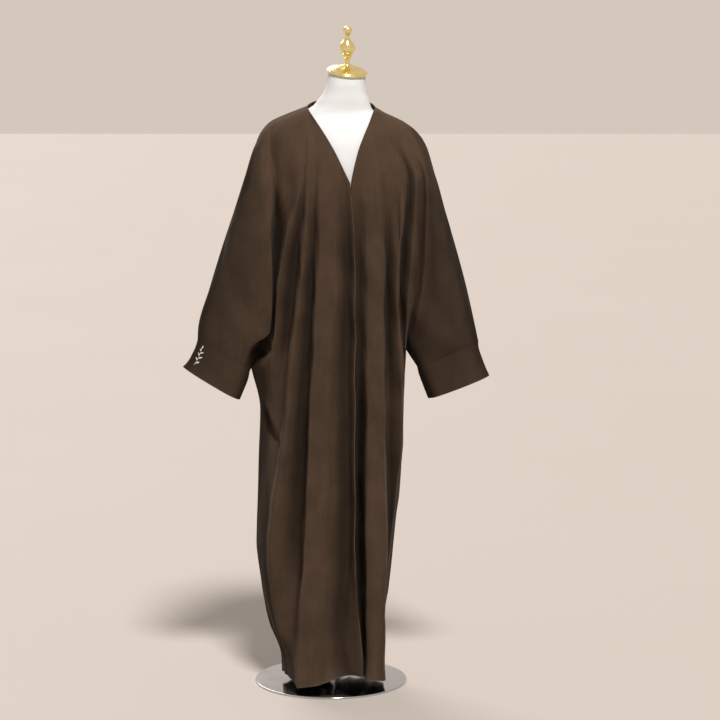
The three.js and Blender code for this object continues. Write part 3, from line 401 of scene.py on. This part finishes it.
def fine_rows(points, folds, facing, beside):
    """Upper and lower part of a quarter as grids of fine points."""
    rows = np.arange(len(points))
    before = 2 * points[:, 0] - points[:, 1] if beside is None else beside[:, 1]
    tangent = tangents(points, before, facing[:, -2])
    # Folds are pressed sharper below the chest and stay soft over chest and shoulder.
    roundness = np.array([fold.roundness for fold in folds])[None, :, None]
    pressed = smooth(*PRESSED_BELOW, points[:, :, 2:3])
    tangent *= lerp(1, roundness, pressed)
    leaving, arriving = tangent.copy(), tangent

    closed = smooth(1 - JOIN_BLEND, 1, rows / UPPER_ROWS)[:, None]
    side, under = SIDE_COLUMN, UNDERARM_COLUMN
    step = points[:, under] - points[:, side]
    shut = (facing[:, side - 1] - points[:, side - 1]) / 2
    arriving[:, side] = lerp(arriving[:, side], shut, closed)
    leaving[:, side] = lerp(leaving[:, side], step, closed)
    arriving[:, under] = lerp(arriving[:, under], step, closed)
    round_cuff = (points[:, under + 1] - facing[:, under + 1]) / 2
    leaving[:, under] = lerp(leaving[:, under], round_cuff, closed)

    corner = 1 - smooth(0, NECK_BLEND, rows / UPPER_ROWS)[:, None]
    neck = NECK_COLUMN
    arriving[:, neck] = lerp(arriving[:, neck], points[:, neck] - points[:, neck - 1], corner)
    leaving[:, neck] = lerp(leaving[:, neck], points[:, neck + 1] - points[:, neck], corner)
    arriving[:, -1] = lerp(arriving[:, -1], points[:, -1] - points[:, -2], corner)

    upper = slice(0, UPPER_ROWS + 1)
    lower = slice(UPPER_ROWS, None)
    body = slice(0, SIDE_COLUMN + 1)
    return (hermite(points[upper], leaving[upper], arriving[upper]),
            hermite(points[lower, body], leaving[lower, body], arriving[lower, body]))


def cuff_rings(points, facing, hem):
    """One face of a cuff, from the sleeve's end down to the cuff's hem."""
    share = np.linspace(0, 1, CUFF_ROWS + 1)[:, None]

    def moved(row):
        row = row[UNDERARM_COLUMN:]
        across = (row[:, 0] - row[0, 0]) / (row[-1, 0] - row[0, 0])
        spread = share ** lerp(1, CUFF_FLARE, across)
        x = lerp(row[:, 0], lerp(hem[0][0], hem[1][0], across), spread)
        z = lerp(row[:, 2], lerp(hem[0][1], hem[1][1], across), share)
        return np.stack([x, np.broadcast_to(row[:, 1], x.shape), z], -1)

    own, other = moved(points), moved(facing)
    tangent = tangents(own, other[:, 1], other[:, -2])
    return hermite(own, tangent, tangent)


HALVES = {
    "right": (FRONT_RIGHT_FOLDS, RIGHT_SIDE, RIGHT_SLEEVE_FOLDS, BACK_RIGHT_FOLDS, BACK_RIGHT_TOPS),
    "left": (FRONT_LEFT_FOLDS, LEFT_SIDE, LEFT_SLEEVE_FOLDS, BACK_LEFT_FOLDS, BACK_LEFT_TOPS),
}
# Panel, face, half, whether it is mirrored, and the numbers of the quarters that face it and
# that go on from it across the middle.
QUARTERS = [
    ("abaya_front_right", "front", "right", False, 1, None),
    ("abaya_back", "back", "right", True, 0, 3),
    ("abaya_front_left", "front", "left", True, 3, None),
    ("abaya_back", "back", "left", False, 2, 1),
]


def garment_patches():
    """(panel, mirrored, face, grid) for every patch of the garment."""
    folds = [quarter_folds(face, *HALVES[half]) for _, face, half, *_ in QUARTERS]
    coarse = [coarse_points(lines, HALVES[half][1]["armpit"][2])
              for lines, (_, _, half, *_) in zip(folds, QUARTERS)]
    patches = []
    for q, (panel, face, half, mirrored, facing, beside) in enumerate(QUARTERS):
        other = coarse[facing]
        centre = None if beside is None else coarse[beside]
        upper, lower = fine_rows(coarse[q], folds[q], other, centre)
        cuff = cuff_rings(coarse[q][UPPER_ROWS], other[UPPER_ROWS], CUFF_HEMS[half])
        # The sleeve's last row is also the cuff's first ring, so both are read the same way.
        upper[-1, UNDERARM_COLUMN * STEPS:] = cuff[0]
        patches += [(panel, mirrored, face, upper), (panel, mirrored, face, lower),
                    ("cuff_" + half, mirrored, face, cuff)]
    return patches


def weld(patches):
    """Shared points, and for each patch a grid of their numbers."""
    stacked = np.concatenate([grid.reshape(-1, 3) for *_, grid in patches])
    keys = np.round(stacked * 100).astype(np.int64)
    _, first, numbers = np.unique(keys, axis=0, return_index=True, return_inverse=True)
    numbers = numbers.reshape(-1)
    grids, start = [], 0
    for *_, grid in patches:
        count = grid.shape[0] * grid.shape[1]
        grids.append(numbers[start:start + count].reshape(grid.shape[:2]))
        start += count
    return stacked[first], grids


def quads_of(numbers, mirrored):
    a, b = numbers[:-1, :-1].ravel(), numbers[:-1, 1:].ravel()
    c, d = numbers[1:, 1:].ravel(), numbers[1:, :-1].ravel()
    return np.stack([a, d, c, b] if mirrored else [a, b, c, d], 1)


def shared_normals(points, quads):
    corner = points[quads]
    normal = np.cross(corner[:, 2] - corner[:, 0], corner[:, 3] - corner[:, 1])
    total = np.zeros_like(points)
    for k in range(4):
        np.add.at(total, quads[:, k], normal)
    return total / np.maximum(np.linalg.norm(total, axis=1, keepdims=True), 1e-9)


def fold_depth(grid, face):
    """How far each point of a patch lies behind the crests beside it, in millimetres."""
    outward = -grid[..., 1] if face == "front" else grid[..., 1]
    depth = np.zeros_like(outward)
    for row, (x, level) in enumerate(zip(grid[..., 0], outward)):
        apart = np.abs(x[:, None] - x[None])
        for reach in CREST_REACHES:
            crest = np.where(apart < reach, level[None], -np.inf).max(1)
            cover = np.where(apart < reach, crest[None], np.inf).min(1)
            depth[row] += (cover - level) / len(CREST_REACHES)
    half = DEPTH_ROWS // 2
    padded = np.pad(depth, ((half, half), (0, 0)), mode="edge")
    return np.stack([padded[k:k + len(depth)] for k in range(DEPTH_ROWS)]).mean(0)


def sleeve_share(grid, panel_side):
    """0 on the body and 1 on the sleeve, where painted shade darkens the colour."""
    column = np.arange(grid.shape[1]) / STEPS
    if grid.shape[1] <= (LAST_COLUMN - UNDERARM_COLUMN) * STEPS + 1:
        column = column + UNDERARM_COLUMN
    share = smooth(*SLEEVE_SHADE_COLUMNS[panel_side], column)
    return np.broadcast_to(share, grid.shape[:2])


def crease_height(points, line, half_width):
    """How strongly a crease acts on each point: 1 on its line, fading across it and at its ends."""
    flat = points[:, [0, 2]]
    line = np.array(line, float)
    lengths = np.linalg.norm(np.diff(line, axis=0), axis=1)
    starts = np.concatenate([[0], np.cumsum(lengths)])
    best = np.full(len(flat), 1e9)
    along = np.zeros(len(flat))
    for a, b, length, start in zip(line[:-1], line[1:], lengths, starts):
        t = np.clip(((flat - a) @ (b - a)) / length**2, 0, 1)
        away = np.linalg.norm(flat - (a + t[:, None] * (b - a)), axis=1)
        nearer = away < best
        best[nearer] = away[nearer]
        along[nearer] = (start + t * length)[nearer]
    ends = np.minimum(along, starts[-1] - along) / max(starts[-1] * CREASE_FADE, 1)
    return np.exp(-(best / half_width) ** 2) * smooth(0, 1, ends)


def ripple(points):
    """Low unevenness of hanging cloth, longer down the cloth than across it."""
    draw = np.random.default_rng(11)
    height = np.zeros(len(points))
    for size, amount in RIPPLES:
        for _ in range(3):
            across = draw.uniform(-1, 1, 3) * (1, 1, 0.45)
            wave = across / np.linalg.norm(across) * 2 * math.pi / size
            height += amount * np.sin(points @ wave + draw.uniform(0, 2 * math.pi))
    return height


def relief(points, faces):
    """How far creases, pressed folds and ripples move each point outward."""
    calm = smooth(*RIPPLE_CALM_HEIGHTS, points[:, 2])
    height = ripple(points) * lerp(1, RIPPLE_CALM, calm)
    for face, line, half_width, amount in CREASES:
        acts = faces == face if face != "both" else np.ones(len(points), bool)
        height[acts] += amount * crease_height(points[acts], line, half_width)
    front = faces == "front"
    for fronts, row, side, strength, last in SHARP_FOLDS:
        crest = list(zip(fronts[row][2][1:last], LEVELS[1:last]))
        if last == len(LEVELS):
            crest.append((crest[-1][0], PAST_HEM))
        drop = [(x + side * SHARP_DROP[2], z) for x, z in crest]
        for line, (half_width, amount, *_) in ((crest, SHARP_RIDGE), (drop, SHARP_DROP)):
            height[front] += strength * amount * crease_height(points[front], line, half_width)
    return height


# ---- cloth walls ----

AWAY = {  # direction in which a panel leaves its seams
    "abaya_front_right": (0, -1, 0), "abaya_front_left": (0, -1, 0), "abaya_back": (0, 1, 0),
    "cuff_right": (-0.42, 0, -0.91), "cuff_left": (0.3, 0, -0.95),
}


def seam_shift(panel, owners):
    """How a panel's edge draws back from the panels that share it."""
    shift = np.zeros(3)
    for other in sorted(owners - {panel}):
        if other.startswith("cuff"):
            shift -= AWAY[other]
        else:
            shift += AWAY[panel]
    return shift * SEAM_SETBACK


def on_body_seam(owners):
    """True where two panels other than a cuff meet."""
    return sum(not panel.startswith("cuff") for panel in owners) > 1


def free_edges(quads):
    sides = np.concatenate([quads[:, [k, (k + 1) % 4]] for k in range(4)])
    known = {(a, b) for a, b in sides.tolist()}
    return [(a, b) for a, b in sides.tolist() if (b, a) not in known]


def nearest(points, targets):
    """Distance from every point to the nearest target."""
    if not len(targets):
        return np.full(len(points), 1000.0)
    tree = KDTree(len(targets))
    for i, target in enumerate(targets):
        tree.insert(target, i)
    tree.balance()
    return np.array([tree.find(point)[2] for point in points])


def wall(panel, points, normals, quads, owners, painted_shades, material):
    """The closed wall of one panel, as an object."""
    used = np.unique(quads)
    local = np.full(len(points), -1)
    local[used] = np.arange(len(used))
    base, normal = points[used].copy(), normals[used].copy()
    seam = np.zeros(len(used), bool)
    for i, number in enumerate(used):
        if len(owners[number]) > 1:
            base[i] += seam_shift(panel, owners[number])
            seam[i] = True
            if on_body_seam(owners[number]):
                normal[i, 1] = 0
    quads = local[quads]
    edges = free_edges(quads)
    rim = np.unique(np.array(edges))
    half = np.full(len(used), CLOTH_HALF_THICKNESS)[:, None]
    outside, inside = base + normal * half, base - normal * half
    count = len(used)
    faces = [*quads.tolist(), *(quads[:, ::-1] + count).tolist()]
    faces += [[b, a, a + count, b + count] for a, b in edges]
    mesh = bpy.data.meshes.new(panel)
    mesh.from_pydata((np.concatenate([outside, inside]) * MM).tolist(), [], faces)
    mesh.shade_smooth()
    to_edge = nearest(base, base[[i for i in rim if not seam[i]]])
    to_seam = nearest(base, base[seam])
    lengths = {"edge": to_edge * MM, "seam": to_seam * MM}
    for name, values in {**lengths, **{key: tone[used] for key, tone in painted_shades.items()}}.items():
        layer = mesh.attributes.new(name, "FLOAT", "POINT")
        layer.data.foreach_set("value", np.tile(values, 2).astype(np.float32))
    mesh.materials.append(material)
    piece = bpy.data.objects.new("cloth_" + panel.removeprefix("abaya_"), mesh)
    bpy.context.scene.collection.objects.link(piece)
    sharp = sharp_rim(mesh, len(quads))
    mesh.attributes.new("sharp_edge", "BOOLEAN", "EDGE").data.foreach_set("value", sharp)
    return piece


def sharp_rim(mesh, quad_count):
    """True for the edges between a panel's two faces and its rim, all of them of quads."""
    edges = np.zeros(len(mesh.loops), np.int32)
    mesh.loops.foreach_get("edge_index", edges)
    sharp = np.zeros(len(mesh.edges), bool)
    sharp[np.intersect1d(*np.split(edges, [2 * quad_count * 4]))] = True
    return sharp.tolist()


# ---- materials ----

class Nodes:
    """A short way to lay out a material's nodes."""

    def __init__(self, name):
        self.material = bpy.data.materials.new(name)
        self.material.use_nodes = True
        self.tree = self.material.node_tree
        self.shader = self.tree.nodes["Principled BSDF"]
        self.place = self.add("ShaderNodeTexCoord").outputs["Object"]

    def fill(self, slot, value):
        """Sets a plain value, or links another node's output."""
        if isinstance(value, (int, float, tuple)):
            slot.default_value = value
        else:
            self.tree.links.new(value, slot)

    def add(self, kind, inputs=None, **settings):
        """A new node, with its inputs by name or number."""
        node = self.tree.nodes.new(kind)
        for key, value in settings.items():
            setattr(node, key, value)
        for key, value in (inputs or {}).items():
            self.fill(node.inputs[key], value)
        return node

    def stretched(self, x, y, z):
        return self.add("ShaderNodeMapping", {"Scale": (x, y, z), "Vector": self.place}).outputs[0]

    def noise(self, scale, detail=2.0, rough=0.5, vector=None, distortion=0.0):
        inputs = {"Scale": scale, "Detail": detail, "Roughness": rough, "Distortion": distortion,
                  "Vector": vector or self.place}
        return self.add("ShaderNodeTexNoise", inputs).outputs["Fac"]

    def wave(self, direction, scale, distortion=0.0):
        inputs = {"Scale": scale, "Distortion": distortion, "Vector": self.place}
        return self.add("ShaderNodeTexWave", inputs, wave_type="BANDS",
                        bands_direction=direction).outputs["Fac"]

    def attribute(self, name):
        return self.add("ShaderNodeAttribute", attribute_name=name).outputs["Fac"]

    def math(self, operation, *values):
        return self.add("ShaderNodeMath", dict(enumerate(values)), operation=operation).outputs[0]

    def between(self, value, low, high, out_low=0.0, out_high=1.0):
        inputs = dict(enumerate((value, low, high, out_low, out_high)))
        return self.add("ShaderNodeMapRange", inputs, interpolation_type="SMOOTHSTEP").outputs[0]

    def ramp(self, fac, stops):
        node = self.add("ShaderNodeValToRGB", {"Fac": fac})
        elements = node.color_ramp.elements
        while len(elements) < len(stops):
            elements.new(0.5)
        for element, (position, colour) in zip(elements, stops):
            element.position = position
            element.color = (*colour, 1)
        return node.outputs["Color"]

    def mix(self, blend, fac, a, b):
        inputs = {0: fac, 6: a, 7: b}
        return self.add("ShaderNodeMix", inputs, data_type="RGBA", blend_type=blend).outputs[2]

    def shade(self, colour, amount):
        """The colour times a grey of this amount."""
        grey = self.ramp(amount, [(0.0, (0, 0, 0)), (1.0, (1, 1, 1))])
        return self.mix("MULTIPLY", 1.0, colour, grey)

    def bump(self, height, distance, strength=1.0, before=None):
        inputs = {"Distance": distance, "Strength": strength, "Height": height}
        if before:
            inputs["Normal"] = before
        return self.add("ShaderNodeBump", inputs).outputs["Normal"]

    def set(self, **values):
        for key, value in values.items():
            self.fill(self.shader.inputs[key.replace("_", " ")], value)


def cloth_material():
    """Dark brown brushed crepe with a short soft nap."""
    n = Nodes("brown_brushed_cloth")
    broad = n.noise(7, 3, 0.55, distortion=0.4)
    patch = n.noise(26, 3, 0.6, n.stretched(1, 1, 0.6))
    streak = n.noise(120, 2, 0.5, n.stretched(1, 1, 0.12))
    grain = n.noise(900, 2, 0.6)
    tone = n.math("MULTIPLY_ADD", patch, 0.4, n.math("MULTIPLY", broad, 0.45))
    tone = n.math("MULTIPLY_ADD", streak, 0.15, tone)
    colour = n.ramp(tone, [(0.36, (0.061, 0.0375, 0.0232)), (0.5, (0.077, 0.0483, 0.0300)),
                           (0.64, (0.096, 0.0615, 0.0395))])
    fibre = n.between(grain, 0.3, 0.7, 0.86, 1.12)
    colour = n.shade(colour, fibre)
    reddish = n.between(n.noise(16, 2, 0.5), 0.52, 0.7, 0.0, 0.35)
    colour = n.mix("MIX", reddish, colour, (0.084, 0.045, 0.031, 1))
    # Painted shade: the colour is darkened in the depth of the folds, where shade falls.
    depth = n.attribute("depth")
    painted_fold_shade = n.between(depth, 0.001, 0.026, 1.0, 0.42)
    # Painted shade and light: the sleeves are painted darker, and the chest lighter than the cloth
    # below it, as the light falls from above.
    sleeve = n.attribute("sleeve")
    height = n.add("ShaderNodeSeparateXYZ", {0: n.place}).outputs["Z"]
    chest = n.between(height, 1.14, 1.26, 0.80, 1.06)
    lay = n.math("MULTIPLY", n.between(sleeve, 0.0, 1.0, 1.0, 0.62), chest)
    # With the folds' painted shade, this painted shade and light multiplies the colour.
    tone = n.math("MULTIPLY", painted_fold_shade, lay)
    colour = n.shade(colour, tone)
    # It is rubbed a little paler along edges and pressed down along the seams.
    edge = n.attribute("edge")
    seam = n.attribute("seam")
    worn = n.math("MULTIPLY", n.between(edge, 0.0, 0.004, 0.5, 0.0), n.between(patch, 0.3, 0.6))
    colour = n.mix("MIX", worn, colour, (0.12, 0.088, 0.062, 1))
    n.set(Base_Color=colour, Roughness=n.between(patch, 0.3, 0.7, 0.8, 0.95),
          Sheen_Weight=0.04, Sheen_Roughness=0.5, Sheen_Tint=(0.85, 0.68, 0.55, 1),
          Specular_IOR_Level=0.12)
    soft = n.noise(38, 3, 0.55, n.stretched(1, 1, 0.5))
    normal = n.bump(soft, 0.004, 0.35)
    crepe = n.noise(420, 2, 0.6, n.stretched(1, 1, 0.45), 0.5)
    normal = n.bump(crepe, 0.0008, 0.4, normal)
    normal = n.bump(grain, 0.0004, 0.35, normal)
    # Sewing: a turned edge with its row of stitches, and a pressed ditch along each seam.
    sunk_hem = n.between(n.math("ABSOLUTE", n.math("SUBTRACT", edge, 0.022)), 0.0, 0.0014, 0.7, 1.0)
    ditch = n.between(seam, 0.0, 0.002, 0.4, 1.0)
    normal = n.bump(n.math("MULTIPLY", sunk_hem, ditch), 0.0007, 0.8, normal)
    n.set(Normal=normal)
    return n.material


def cover_material():
    """Smooth white cover of the form, a fine tight knit."""
    n = Nodes("white_knit_cover")
    tone = n.noise(9, 3, 0.5)
    knit = n.math("MULTIPLY", n.wave("X", 260, 0.6), n.wave("Z", 300, 0.6))
    n.set(Base_Color=n.ramp(tone, [(0.3, (0.76, 0.765, 0.77)), (0.7, (0.84, 0.84, 0.84))]),
          Roughness=n.between(tone, 0.3, 0.7, 0.6, 0.72), Sheen_Weight=0.1,
          Normal=n.bump(knit, 0.0003, 0.35))
    return n.material


def gold_material():
    """Polished gold-coloured metal with faint turning marks."""
    n = Nodes("gold_metal")
    smudge = n.noise(60, 3, 0.6)
    turning = n.noise(700, 1, 0.5, n.stretched(0.05, 0.05, 1))
    n.set(Base_Color=n.ramp(smudge, [(0.3, (0.87, 0.71, 0.27)), (0.7, (0.95, 0.83, 0.4))]),
          Metallic=1.0, Roughness=n.between(smudge, 0.3, 0.75, 0.14, 0.3),
          Normal=n.bump(turning, 0.0002, 0.3))
    return n.material


def chrome_material():
    """Chrome plate with faint smudges and polishing marks."""
    n = Nodes("chrome")
    smudge = n.noise(14, 4, 0.6)
    polish = n.noise(300, 2, 0.6, n.stretched(1, 0.15, 1))
    n.set(Base_Color=n.ramp(smudge, [(0.3, (0.49, 0.52, 0.55)), (0.7, (0.56, 0.59, 0.62))]),
          Metallic=1.0, Roughness=n.between(smudge, 0.35, 0.75, 0.1, 0.2),
          Normal=n.bump(polish, 0.00005, 0.2))
    return n.material


def thread_material():
    """Pale embroidery thread with a twist."""
    n = Nodes("pale_thread")
    tone = n.noise(300, 2, 0.5)
    n.set(Base_Color=n.ramp(tone, [(0.3, (0.62, 0.60, 0.56)), (0.7, (0.78, 0.76, 0.72))]),
          Roughness=n.between(tone, 0.3, 0.7, 0.45, 0.6), Sheen_Weight=0.2,
          Normal=n.bump(n.wave("DIAGONAL", 900), 0.0003, 0.5))
    return n.material


def floor_material():
    """Plain pale floor."""
    n = Nodes("pale_floor")
    tone = n.noise(0.6, 3, 0.5)
    n.set(Base_Color=n.ramp(tone, [(0.3, (0.51, 0.45, 0.405)), (0.7, (0.525, 0.465, 0.42))]),
          Roughness=n.between(tone, 0.3, 0.7, 0.75, 0.85))
    return n.material


# ---- pieces ----

def make_piece(name, vertices, faces, material, sharp_angle=math.radians(50)):
    """An object from points in millimetres."""
    mesh = bpy.data.meshes.new(name)
    mesh.from_pydata((np.array(vertices, float) * MM).tolist(), [], faces)
    mesh.materials.append(material)
    mesh.shade_smooth()
    mesh.set_sharp_from_angle(angle=sharp_angle)
    piece = bpy.data.objects.new(name, mesh)
    bpy.context.scene.collection.objects.link(piece)
    return piece


def tube_faces(count, sides, start=0):
    """Faces through `count` rings of points numbered from `start`, with flat ends."""
    faces = []
    for ring in range(start, start + (count - 1) * sides, sides):
        for i in range(sides):
            a, b = ring + i, ring + (i + 1) % sides
            faces.append((a, b, b + sides, a + sides))
    first, last = range(start, start + sides), start + (count - 1) * sides
    return [*faces, tuple(reversed(first)), tuple(range(last, last + sides))]


def loft(name, rings, material, **settings):
    """A closed solid through rings of points, from the bottom up."""
    faces = tube_faces(len(rings), len(rings[0]))
    return make_piece(name, np.concatenate(rings), faces, material, **settings)


def stand_in(piece, node):
    """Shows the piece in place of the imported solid."""
    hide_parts(node)
    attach(piece, "root")


def turns(sides):
    return np.arange(sides) * 2 * math.pi / sides


def circle(radius, z, sides, x=0):
    angle = turns(sides)
    return np.stack([x + radius * np.cos(angle), radius * np.sin(angle), np.full(sides, float(z))], 1)


def rounded(radius, bottom, top, rounding, steps=5):
    """Outline of a disc or collar with rounded upper and lower rims: (radius, height)."""
    inner = radius - rounding
    arc = [(rounding * math.sin(a), rounding * math.cos(a))
           for a in (math.pi / 2 * i / steps for i in range(steps + 1))]
    lower = [(inner + sin, bottom + rounding - cos) for sin, cos in arc]
    return lower + [(inner + cos, top - rounding + sin) for sin, cos in arc]


def onto_neck(points):
    tilt = Matrix.Rotation(NECK_ROLL, 3, "Y") @ Matrix.Rotation(NECK_PITCH, 3, "X")
    return np.array([tilt @ Vector(p) + Vector(NECK_TOP) for p in points])


def build_stand(chrome):
    plate = [circle(r, z, 160) for r, z in rounded(PLATE_RADIUS, 0, PLATE_THICKNESS, PLATE_ROUNDING)]
    low = PLATE_THICKNESS + TOUCH_GAP
    high = low + SOCKET_HEIGHT
    socket = [circle(r, z, 64, STAND_LEAN * z)
              for r, z in rounded(SOCKET_RADIUS, low, high, SOCKET_ROUNDING)]
    heights = np.linspace(high + TOUCH_GAP, TORSO_SECTIONS[0][0] - TOUCH_GAP, 12)
    pole = [circle(POLE_RADIUS, z, 48, STAND_LEAN * z) for z in heights]
    stand_in(loft("stand_plate", plate, chrome), "base_plate")
    stand_in(loft("stand_socket", socket, chrome), "pole_socket")
    stand_in(loft("stand_pole", pole, chrome), "pole")


def torso_ring(z, centre, half, front, back, power, sides=112):
    cos, sin = np.cos(turns(sides)), np.sin(turns(sides))
    across = np.sign(cos) * np.abs(cos) ** (2 / power)
    deep = np.sign(sin) * np.abs(sin) ** (2 / power)
    return np.stack([centre + half * across, np.where(sin < 0, front, back) * deep,
                     np.full(sides, float(z))], 1)


def build_form(cover, gold):
    knots, *columns = np.array(TORSO_SECTIONS[::-1], float).T
    rings = []
    for z in TORSO_HEIGHTS:
        centre, half, front, back = (float(read_curve(knots, column, [z])[0]) for column in columns)
        sink = COVER_SINK * float(1 - smooth(*COVER_SINK_HEIGHTS, z))
        rings.append(torso_ring(z, centre, half - sink, front - sink, back - sink, TORSO_POWER))
    top = onto_neck(torso_ring(0, 0, NECK_RADIUS, NECK_RADIUS, NECK_RADIUS, 2))
    rings += [lerp(rings[-1], top, share) for share in (0.25, 0.5, 0.75, 0.94, 1)]
    stand_in(loft("form_cover", rings, cover), "form_torso")

    start = math.pi - math.asin(BALL_NECK_RADIUS / BALL_RADIUS)
    ball = [(BALL_RADIUS * math.sin(a), BALL_CENTRE_HEIGHT + BALL_RADIUS * math.cos(a))
            for a in (start * (1 - i / BALL_STEPS) for i in range(1, BALL_STEPS))]
    rings = [onto_neck(circle(r, z + TOUCH_GAP, 72)) - (FINIAL_LEAN_BACK * z, 0, 0)
             for r, z in FINIAL_OUTLINE + ball]
    finial = loft("gold_cap_finial", rings, gold, sharp_angle=math.radians(60))
    stand_in(finial, "neck_cap_finial")


def build_abaya(cloth):
    """Every cloth panel, by its solid's name."""
    patches = garment_patches()
    points, numbers = weld(patches)
    quads = [quads_of(grid, patch[1]) for grid, patch in zip(numbers, patches)]
    everything = np.concatenate(quads)
    normals = shared_normals(points, everything)

    # Painted shade: "depth" darkens the cloth's colour in fold troughs and "sleeve" darkens it on the
    # sleeves.
    painted_shades = {"depth": np.zeros(len(points)), "sleeve": np.zeros(len(points))}
    for (_, _, face, grid), own in zip(patches, numbers):
        np.maximum.at(painted_shades["depth"], own.ravel(), fold_depth(grid, face).ravel() * MM)
        share = sleeve_share(grid, "right" if grid[..., 0].mean() < 0 else "left")
        np.maximum.at(painted_shades["sleeve"], own.ravel(), share.ravel())
    faces = np.full(len(points), "both", dtype="<U5")
    owners = [set() for _ in points]
    for (panel, _, face, _), grid in zip(patches, numbers):
        flat = np.unique(grid)
        met = np.array([bool(owners[i]) and faces[i] != face for i in flat])
        faces[flat] = np.where(met, "both", face)
        for i in flat:
            owners[i].add(panel)
    seam = np.array([on_body_seam(panels) for panels in owners])
    off_seam = smooth(0, SEAM_CALM, nearest(points, points[seam]))
    points = points + normals * (relief(points, faces) * off_seam)[:, None]
    normals = shared_normals(points, everything)

    pieces = {}
    for panel in AWAY:
        own = np.concatenate([q for q, patch in zip(quads, patches) if patch[0] == panel])
        pieces[panel] = wall(panel, points, normals, own, owners, painted_shades, cloth)
        stand_in(pieces[panel], panel)
    return pieces


def thread_run(cloth_tree, path, half_widths, rise):
    """Rings of one run of stitches that lies on the cloth along a path in x and z."""
    hits = []
    for x, z in path:
        place, normal, _, _ = cloth_tree.ray_cast(Vector((x * MM, -0.3, z * MM)), Vector((0, 1, 0)))
        hits.append((np.array(place) / MM, np.array(normal)))
    places = np.array([place for place, _ in hits])
    along = np.gradient(places, axis=0)
    angle = turns(10)
    rings = []
    for (place, normal), forward, half_width in zip(hits, along, half_widths):
        across = np.cross(normal, forward)
        across /= np.linalg.norm(across)
        share = 0.3 + 0.7 * half_width / max(half_widths)
        rings.append(place + np.outer(np.cos(angle), across) * half_width
                     + np.outer(np.sin(angle), normal) * rise * share)
    return rings


def build_sprig(cuff, thread):
    """The pale leaf sprig, sewn in satin stitch."""
    corners = [vertex.co for vertex in cuff.data.vertices]
    cloth_tree = BVHTree.FromPolygons(corners, [tuple(p.vertices) for p in cuff.data.polygons])
    stem = np.array(SPRIG_STEM, float)
    knots = np.linspace(0, 1, len(stem))

    def on_stem(share):
        return np.stack([np.interp(share, knots, column) for column in stem.T], -1)

    stem_path = on_stem(np.linspace(0, 1, 25))
    half_widths = [STEM_HALF_WIDTH] * len(stem_path)
    runs = [thread_run(cloth_tree, stem_path, half_widths, STEM_HALF_WIDTH)]
    heading = stem[-1] - stem[0]
    heading = heading / np.linalg.norm(heading)
    leaves = [(share, side * SPRIG_ANGLE, length, half_width)
              for share, side, length, half_width in SPRIG_LEAVES]
    for share, turn, length, half_width in [*leaves, (1, 0, *SPRIG_TIP_LEAF)]:
        cos, sin = math.cos(turn), math.sin(turn)
        way = np.array([heading[0] * cos + heading[1] * sin, heading[1] * cos - heading[0] * sin])
        steps = np.linspace(0, 1, 13)
        widths = half_width * np.sin(np.pi * np.clip(steps, 0.04, 0.96)) ** 0.8
        path = on_stem(share) + np.outer(steps * length, way)
        runs.append(thread_run(cloth_tree, path, widths, LEAF_RISE))
    vertices, faces = [], []
    for rings in runs:
        faces += tube_faces(len(rings), len(rings[0]), len(vertices))
        vertices += [point for ring in rings for point in ring]
    sprig = make_piece("sprig_embroidery", vertices, faces, thread)
    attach(sprig, "root")


# ---- the room ----

def build_room():
    floor = loft("floor", [circle(60000, -40, 128), circle(60000, -0.01, 128)], floor_material())
    build_studio_wall()
    add_sun("key", 3.5, 12, (-0.14, 0.56, -0.80), (1.0, 0.98, 0.96))
    add_sun("back_fill", 1.5, 30, (0.35, -0.75, -0.55), (1.0, 0.97, 0.94))
    bpy.context.scene.view_settings.view_transform = "Standard"


def build_studio_wall():
    """A pale surround that is seen and mirrored brightly, and lights the cloth only gently."""
    world = bpy.data.worlds.new("studio")
    world.use_nodes = True
    tree = world.node_tree
    seen = tree.nodes["Background"]
    lighting = tree.nodes.new("ShaderNodeBackground")
    for node, colour, strength in ((seen, (0.66, 0.57, 0.50, 1), 1.0),
                                   (lighting, (0.62, 0.56, 0.50, 1), 0.28)):
        node.inputs["Color"].default_value = colour
        node.inputs["Strength"].default_value = strength
    path = tree.nodes.new("ShaderNodeLightPath")
    direct = tree.nodes.new("ShaderNodeMath")
    direct.operation = "MAXIMUM"
    choice = tree.nodes.new("ShaderNodeMixShader")
    for source, target in ((path.outputs["Is Camera Ray"], direct.inputs[0]),
                           (path.outputs["Is Glossy Ray"], direct.inputs[1]),
                           (direct.outputs[0], choice.inputs[0]),
                           (lighting.outputs[0], choice.inputs[1]),
                           (seen.outputs[0], choice.inputs[2]),
                           (choice.outputs[0], tree.nodes["World Output"].inputs["Surface"])):
        tree.links.new(source, target)
    bpy.context.scene.world = world


def add_sun(name, energy, softness, direction, colour):
    light = bpy.data.lights.new(name, "SUN")
    light.energy, light.angle, light.color = energy, math.radians(softness), colour
    lamp = bpy.data.objects.new(name, light)
    lamp.rotation_mode = "QUATERNION"
    lamp.rotation_quaternion = Vector(direction).to_track_quat("-Z", "Y")
    bpy.context.scene.collection.objects.link(lamp)


def build_camera():
    data = bpy.data.cameras.new("camera")
    data.sensor_width, data.lens = 36, CAMERA_LENS
    data.clip_end = 60
    camera = bpy.data.objects.new("camera", data)
    camera.location = CAMERA_PLACE
    camera.rotation_euler = (math.radians(90 - CAMERA_DIP), 0, 0)
    bpy.context.scene.collection.objects.link(camera)
    bpy.context.scene.camera = camera


build_camera()
build_room()
build_stand(chrome_material())
build_form(cover_material(), gold_material())
panels = build_abaya(cloth_material())
build_sprig(panels["cuff_right"], thread_material())

bpy.context.view_layer.update()
